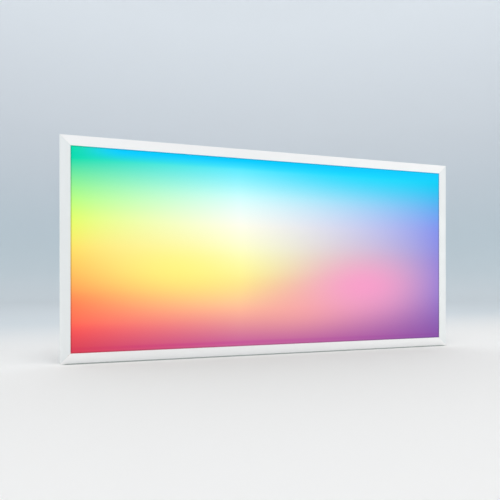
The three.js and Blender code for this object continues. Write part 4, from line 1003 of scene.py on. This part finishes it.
def make_bushing():
    """The snap-in ring round the cable hole, with a rolled outer lip."""
    low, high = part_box("inlet_bushing")
    length = high.x - low.x
    flange = (high.z - low.z) / 2
    lip = (BUSHING_BORE + BUSHING_LIP, length)
    profile = [
        lip,
        (BUSHING_BORE, length - BUSHING_LIP),
        (BUSHING_BORE, 0.0),
        (BUSHING_SNAP - BUSHING_SNAP_LEAD[0], 0.0),
        (BUSHING_SNAP, BUSHING_SNAP_LEAD[1]),
        (BUSHING_SNAP, BUSHING_SNAP_HEIGHT),
        (BUSHING_BARREL, BUSHING_SNAP_HEIGHT),
        (BUSHING_BARREL, length - BUSHING_FLANGE),
        (flange, length - BUSHING_FLANGE),
        (flange, length - BUSHING_FLANGE_SLOPE[1]),
        (flange - BUSHING_FLANGE_SLOPE[0], length),
        lip,
    ]
    outline = rounded(profile, BUSHING_SOFTNESS)[:-1]
    made = turned("snap_bushing", outline, sides=WIDE_SIDES, closed=True)
    centre = middle("inlet_bushing")
    stand(made, (low.x, centre.y, centre.z), (1, 0, 0))
    piece_for(made, "inlet_bushing", "black_plastic")


PLUG_FLANGE = 1.2 * MM
PLUG_STEP = 2 * MM  # from the flange's edge in to the plug's body
PLUG_CHAMFER = 0.5 * MM
PLUG_DISH = 0.5 * MM
PLUG_SOFTNESS = 0.25 * MM
PLUG_RIM = (2.6 * MM, 3.4 * MM)  # where the rim slopes down into the dish, in from the edge


def make_knockout_plug():
    """The blanking plug, with a dished face and a raised rim."""
    low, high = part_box("knockout_plug")
    length = high.z - low.z
    flange = (high.x - low.x) / 2
    profile = [
        (0.0, length - PLUG_DISH),
        (flange - PLUG_RIM[1], length - PLUG_DISH),
        (flange - PLUG_RIM[0], length),
        (flange - PLUG_CHAMFER, length),
        (flange, length - PLUG_CHAMFER),
        (flange, length - PLUG_FLANGE),
        (flange - PLUG_STEP, length - PLUG_FLANGE),
        (flange - PLUG_STEP, 0.0),
        (0.0, 0.0),
    ]
    made = turned("dished_plug", rounded(profile, PLUG_SOFTNESS), sides=WIDE_SIDES)
    centre = middle("knockout_plug")
    stand(made, (centre.x, centre.y, high.z), (0, 0, -1))
    piece_for(made, "knockout_plug", "black_plastic")


BUTTON_STEM = 1.8 * MM
BUTTON_STEM_HEIGHT = 2.5 * MM
BUTTON_FLANGE = 1 * MM
BUTTON_CAP = 3 * MM
BUTTON_CHAMFER = (0.5 * MM, 0.3 * MM)  # across and along
BUTTON_RIM = 1.2 * MM  # where the dish starts, in from the cap's side
BUTTON_DISH = 0.4 * MM
BUTTON_SOFTNESS = 0.25 * MM


def make_pair_button():
    """The push button: a dished round cap, its flange and its stem."""
    low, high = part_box("pair_button")
    length = high.x - low.x
    flange = (high.z - low.z) / 2
    flange_top = BUTTON_STEM_HEIGHT + BUTTON_FLANGE
    profile = [
        (0.0, 0.0),
        (BUTTON_STEM, 0.0),
        (BUTTON_STEM, BUTTON_STEM_HEIGHT),
        (flange, BUTTON_STEM_HEIGHT),
        (flange, flange_top),
        (BUTTON_CAP, flange_top),
        (BUTTON_CAP, length - BUTTON_CHAMFER[1]),
        (BUTTON_CAP - BUTTON_CHAMFER[0], length),
        (BUTTON_CAP - BUTTON_RIM, length),
        (0.0, length - BUTTON_DISH),
    ]
    made = turned("dished_button", rounded(profile, BUTTON_SOFTNESS))
    centre = middle("pair_button")
    stand(made, (high.x, centre.y, centre.z), (-1, 0, 0))
    piece_for(made, "pair_button", "grey_plastic")


TRAY_RIVET_RADIUS = 3.2 * MM
TRAY_RIVET_HEIGHT = 1.3 * MM
TRAY_RIVET_DOME = ((0.0, 0.0), (1.0, 0.0), (0.8, 0.8), (0.35, 1.0), (0.0, 1.0))  # in such shares too
TRAY_RIVET_SOFTNESS = 0.4 * MM
TRAY_RIVET_INSET = 9 * MM
TRAY_SHEET = 1 * MM


def make_tray_rivets():
    """Low domed rivets through the tray's floor, at the corners of the wiring compartment."""
    low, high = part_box("driver_tray")
    floor = low.y + TRAY_SHEET
    columns = (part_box("divider_plate")[1].x + TRAY_RIVET_INSET, high.x - TRAY_RIVET_INSET)
    rows = (
        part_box("wiring_door")[0].z + TRAY_RIVET_INSET,
        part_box("driver_cover")[1].z - TRAY_RIVET_INSET,
    )
    dome = [(TRAY_RIVET_RADIUS * out, TRAY_RIVET_HEIGHT * up) for out, up in TRAY_RIVET_DOME]
    places = [(x, floor, z) for x in columns for z in rows]
    for number, place in enumerate(places, start=1):
        outline = rounded(dome, TRAY_RIVET_SOFTNESS)
        made = turned(f"tray_rivet_{number}", outline, sides=SMALL_SIDES)
        stand(made, place, (0, 1, 0))
        made.data.materials.append(bpy.data.materials["bare_aluminium"])
        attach(made, "panel")


WIRE_RADIUS = 1.15 * MM
WIRE_SIDES = 16
WIRE_STEPS = 10  # between two points of a wire's path
STRIPE_EVERY = 8  # sides from one stripe's start to the next
STRIPE_SIDES = 3
WIRE_PITCH = 11 * MM  # from one of the terminal's poles to the next
WIRE_ROOT = 4.5 * MM  # above the terminal's foot
WIRE_LIFTS = (8 * MM, 12 * MM, 16 * MM)  # how far each wire arches past the terminal
WIRE_BUNDLE = 1.9 * MM  # from the middle of the divider's hole to each wire's


def smooth_path(points, steps):
    """Points on a smooth curve through all of the given ones."""
    spots = [Vector(p) for p in points]
    spots = [2 * spots[0] - spots[1], *spots, 2 * spots[-1] - spots[-2]]
    path = []
    for a, b, c, d in zip(spots, spots[1:], spots[2:], spots[3:]):
        for step in range(steps):
            t = step / steps
            bend = 2 * b + (c - a) * t + (2 * a - 5 * b + 4 * c - d) * t**2
            path.append((bend + (3 * b - a - 3 * c + d) * t**3) / 2)
    path.append(spots[-2])
    return path


def tube(name, path, radius):
    """A round tube along a path, with flat ends, and with stripes of its second material."""
    shape = bmesh.new()
    rings = []
    side = Vector((0, 1, 0))
    for i, centre in enumerate(path):
        along = (path[min(i + 1, len(path) - 1)] - path[max(i - 1, 0)]).normalized()
        side = (side - along * side.dot(along)).normalized()
        other = along.cross(side)
        ring = []
        for k in range(WIRE_SIDES):
            angle = 2 * math.pi * k / WIRE_SIDES
            outward = side * math.cos(angle) + other * math.sin(angle)
            ring.append(shape.verts.new(centre + outward * radius))
        rings.append(ring)
    for low, high in zip(rings, rings[1:]):
        for k in range(WIRE_SIDES):
            j = (k + 1) % WIRE_SIDES
            face = shape.faces.new((low[k], low[j], high[j], high[k]))
            face.material_index = int(k % STRIPE_EVERY < STRIPE_SIDES)
    shape.faces.new(rings[0])
    shape.faces.new(rings[-1])
    return object_from(shape, name)


def wire_route(i):
    """The points of a wire from the lever terminal, through the divider's hole, to the board."""
    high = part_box("input_terminal")[1]
    x = middle("input_terminal").x + (i - 1) * WIRE_PITCH
    root_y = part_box("input_terminal")[0].y + WIRE_ROOT
    top = high.z + WIRE_LIFTS[i]
    half_way = high.z + WIRE_LIFTS[i] / 2
    hole = middle("divider_plate")
    hole.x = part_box("divider_plate")[1].x
    around = 2 * math.pi * i / len(WIRE_LIFTS)
    end = hole + Vector((0, math.cos(around), math.sin(around))) * WIRE_BUNDLE
    return [
        (x, root_y, high.z - 3 * MM),
        (x, root_y, half_way),
        (x - 5 * MM, root_y + 2 * MM, top),
        ((x + hole.x) / 2, root_y + 5 * MM, top + 1 * MM),
        (hole.x + 10 * MM, end.y - 1 * MM, half_way - 4 * MM),
        (hole.x + 3 * MM, end.y, end.z + 1 * MM),
        (hole.x - 9 * MM, end.y, end.z),
    ]


def make_supply_wires():
    """The three insulated wires from the lever terminal to the circuit board."""
    brown = moulded_plastic("wire_brown", (0.12, 0.045, 0.02, 1.0), 0.4)
    blue = moulded_plastic("wire_blue", (0.03, 0.12, 0.42, 1.0), 0.4)
    green = moulded_plastic("wire_green", (0.05, 0.30, 0.06, 1.0), 0.4)
    yellow = moulded_plastic("wire_yellow", (0.80, 0.62, 0.05, 1.0), 0.4)
    for i, coats in enumerate([(brown, brown), (blue, blue), (green, yellow)]):
        made = tube(f"supply_wire_{i + 1}", smooth_path(wire_route(i), WIRE_STEPS), WIRE_RADIUS)
        for coat in coats:
            made.data.materials.append(coat)
        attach(made, "panel")


BEVEL_ANGLE = math.radians(50)  # only edges sharper than this are rounded
BEVEL_STEPS = 2
SOFT_EDGES = {  # the width of the bevel on each node, named as nodes_called() reads them
    "driver_tray": 0.35 * MM,
    "driver_cover": 0.35 * MM,
    "wiring_door": 0.35 * MM,
    "grid_clip_": 0.3 * MM,
    "selector_slider_": 0.3 * MM,
    "terminal_lever_": 0.25 * MM,
    "input_terminal": 0.3 * MM,
    "output_terminal": 0.3 * MM,
    "back_plate": 0.2 * MM,
}


def soften_edges():
    """Rounds the sharp edges of folded sheet and moulded parts."""
    for name, width in SOFT_EDGES.items():
        for node in nodes_called(name):
            bevel = node.modifiers.new("soft_edges", "BEVEL")
            bevel.width = width
            bevel.segments = BEVEL_STEPS
            bevel.limit_method = "ANGLE"
            bevel.angle_limit = BEVEL_ANGLE
            bevel.use_clamp_overlap = True


# ---- The scene ---------------------------------------------------------------------------------


make_camera()
bpy.context.scene.view_settings.view_transform = "Standard"
make_sky()
soft_lights = make_soft_lights()
make_wash(make_stage())
dress_nodes()
make_screws()
make_clip_rivets()
make_bushing()
make_knockout_plug()
make_pair_button()
make_tray_rivets()
make_supply_wires()
soften_edges()
for soft_light in soft_lights:
    light_only(soft_light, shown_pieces())
light_only(frame["nodes"]["diffuser_plate"], nodes_called("frame_"))
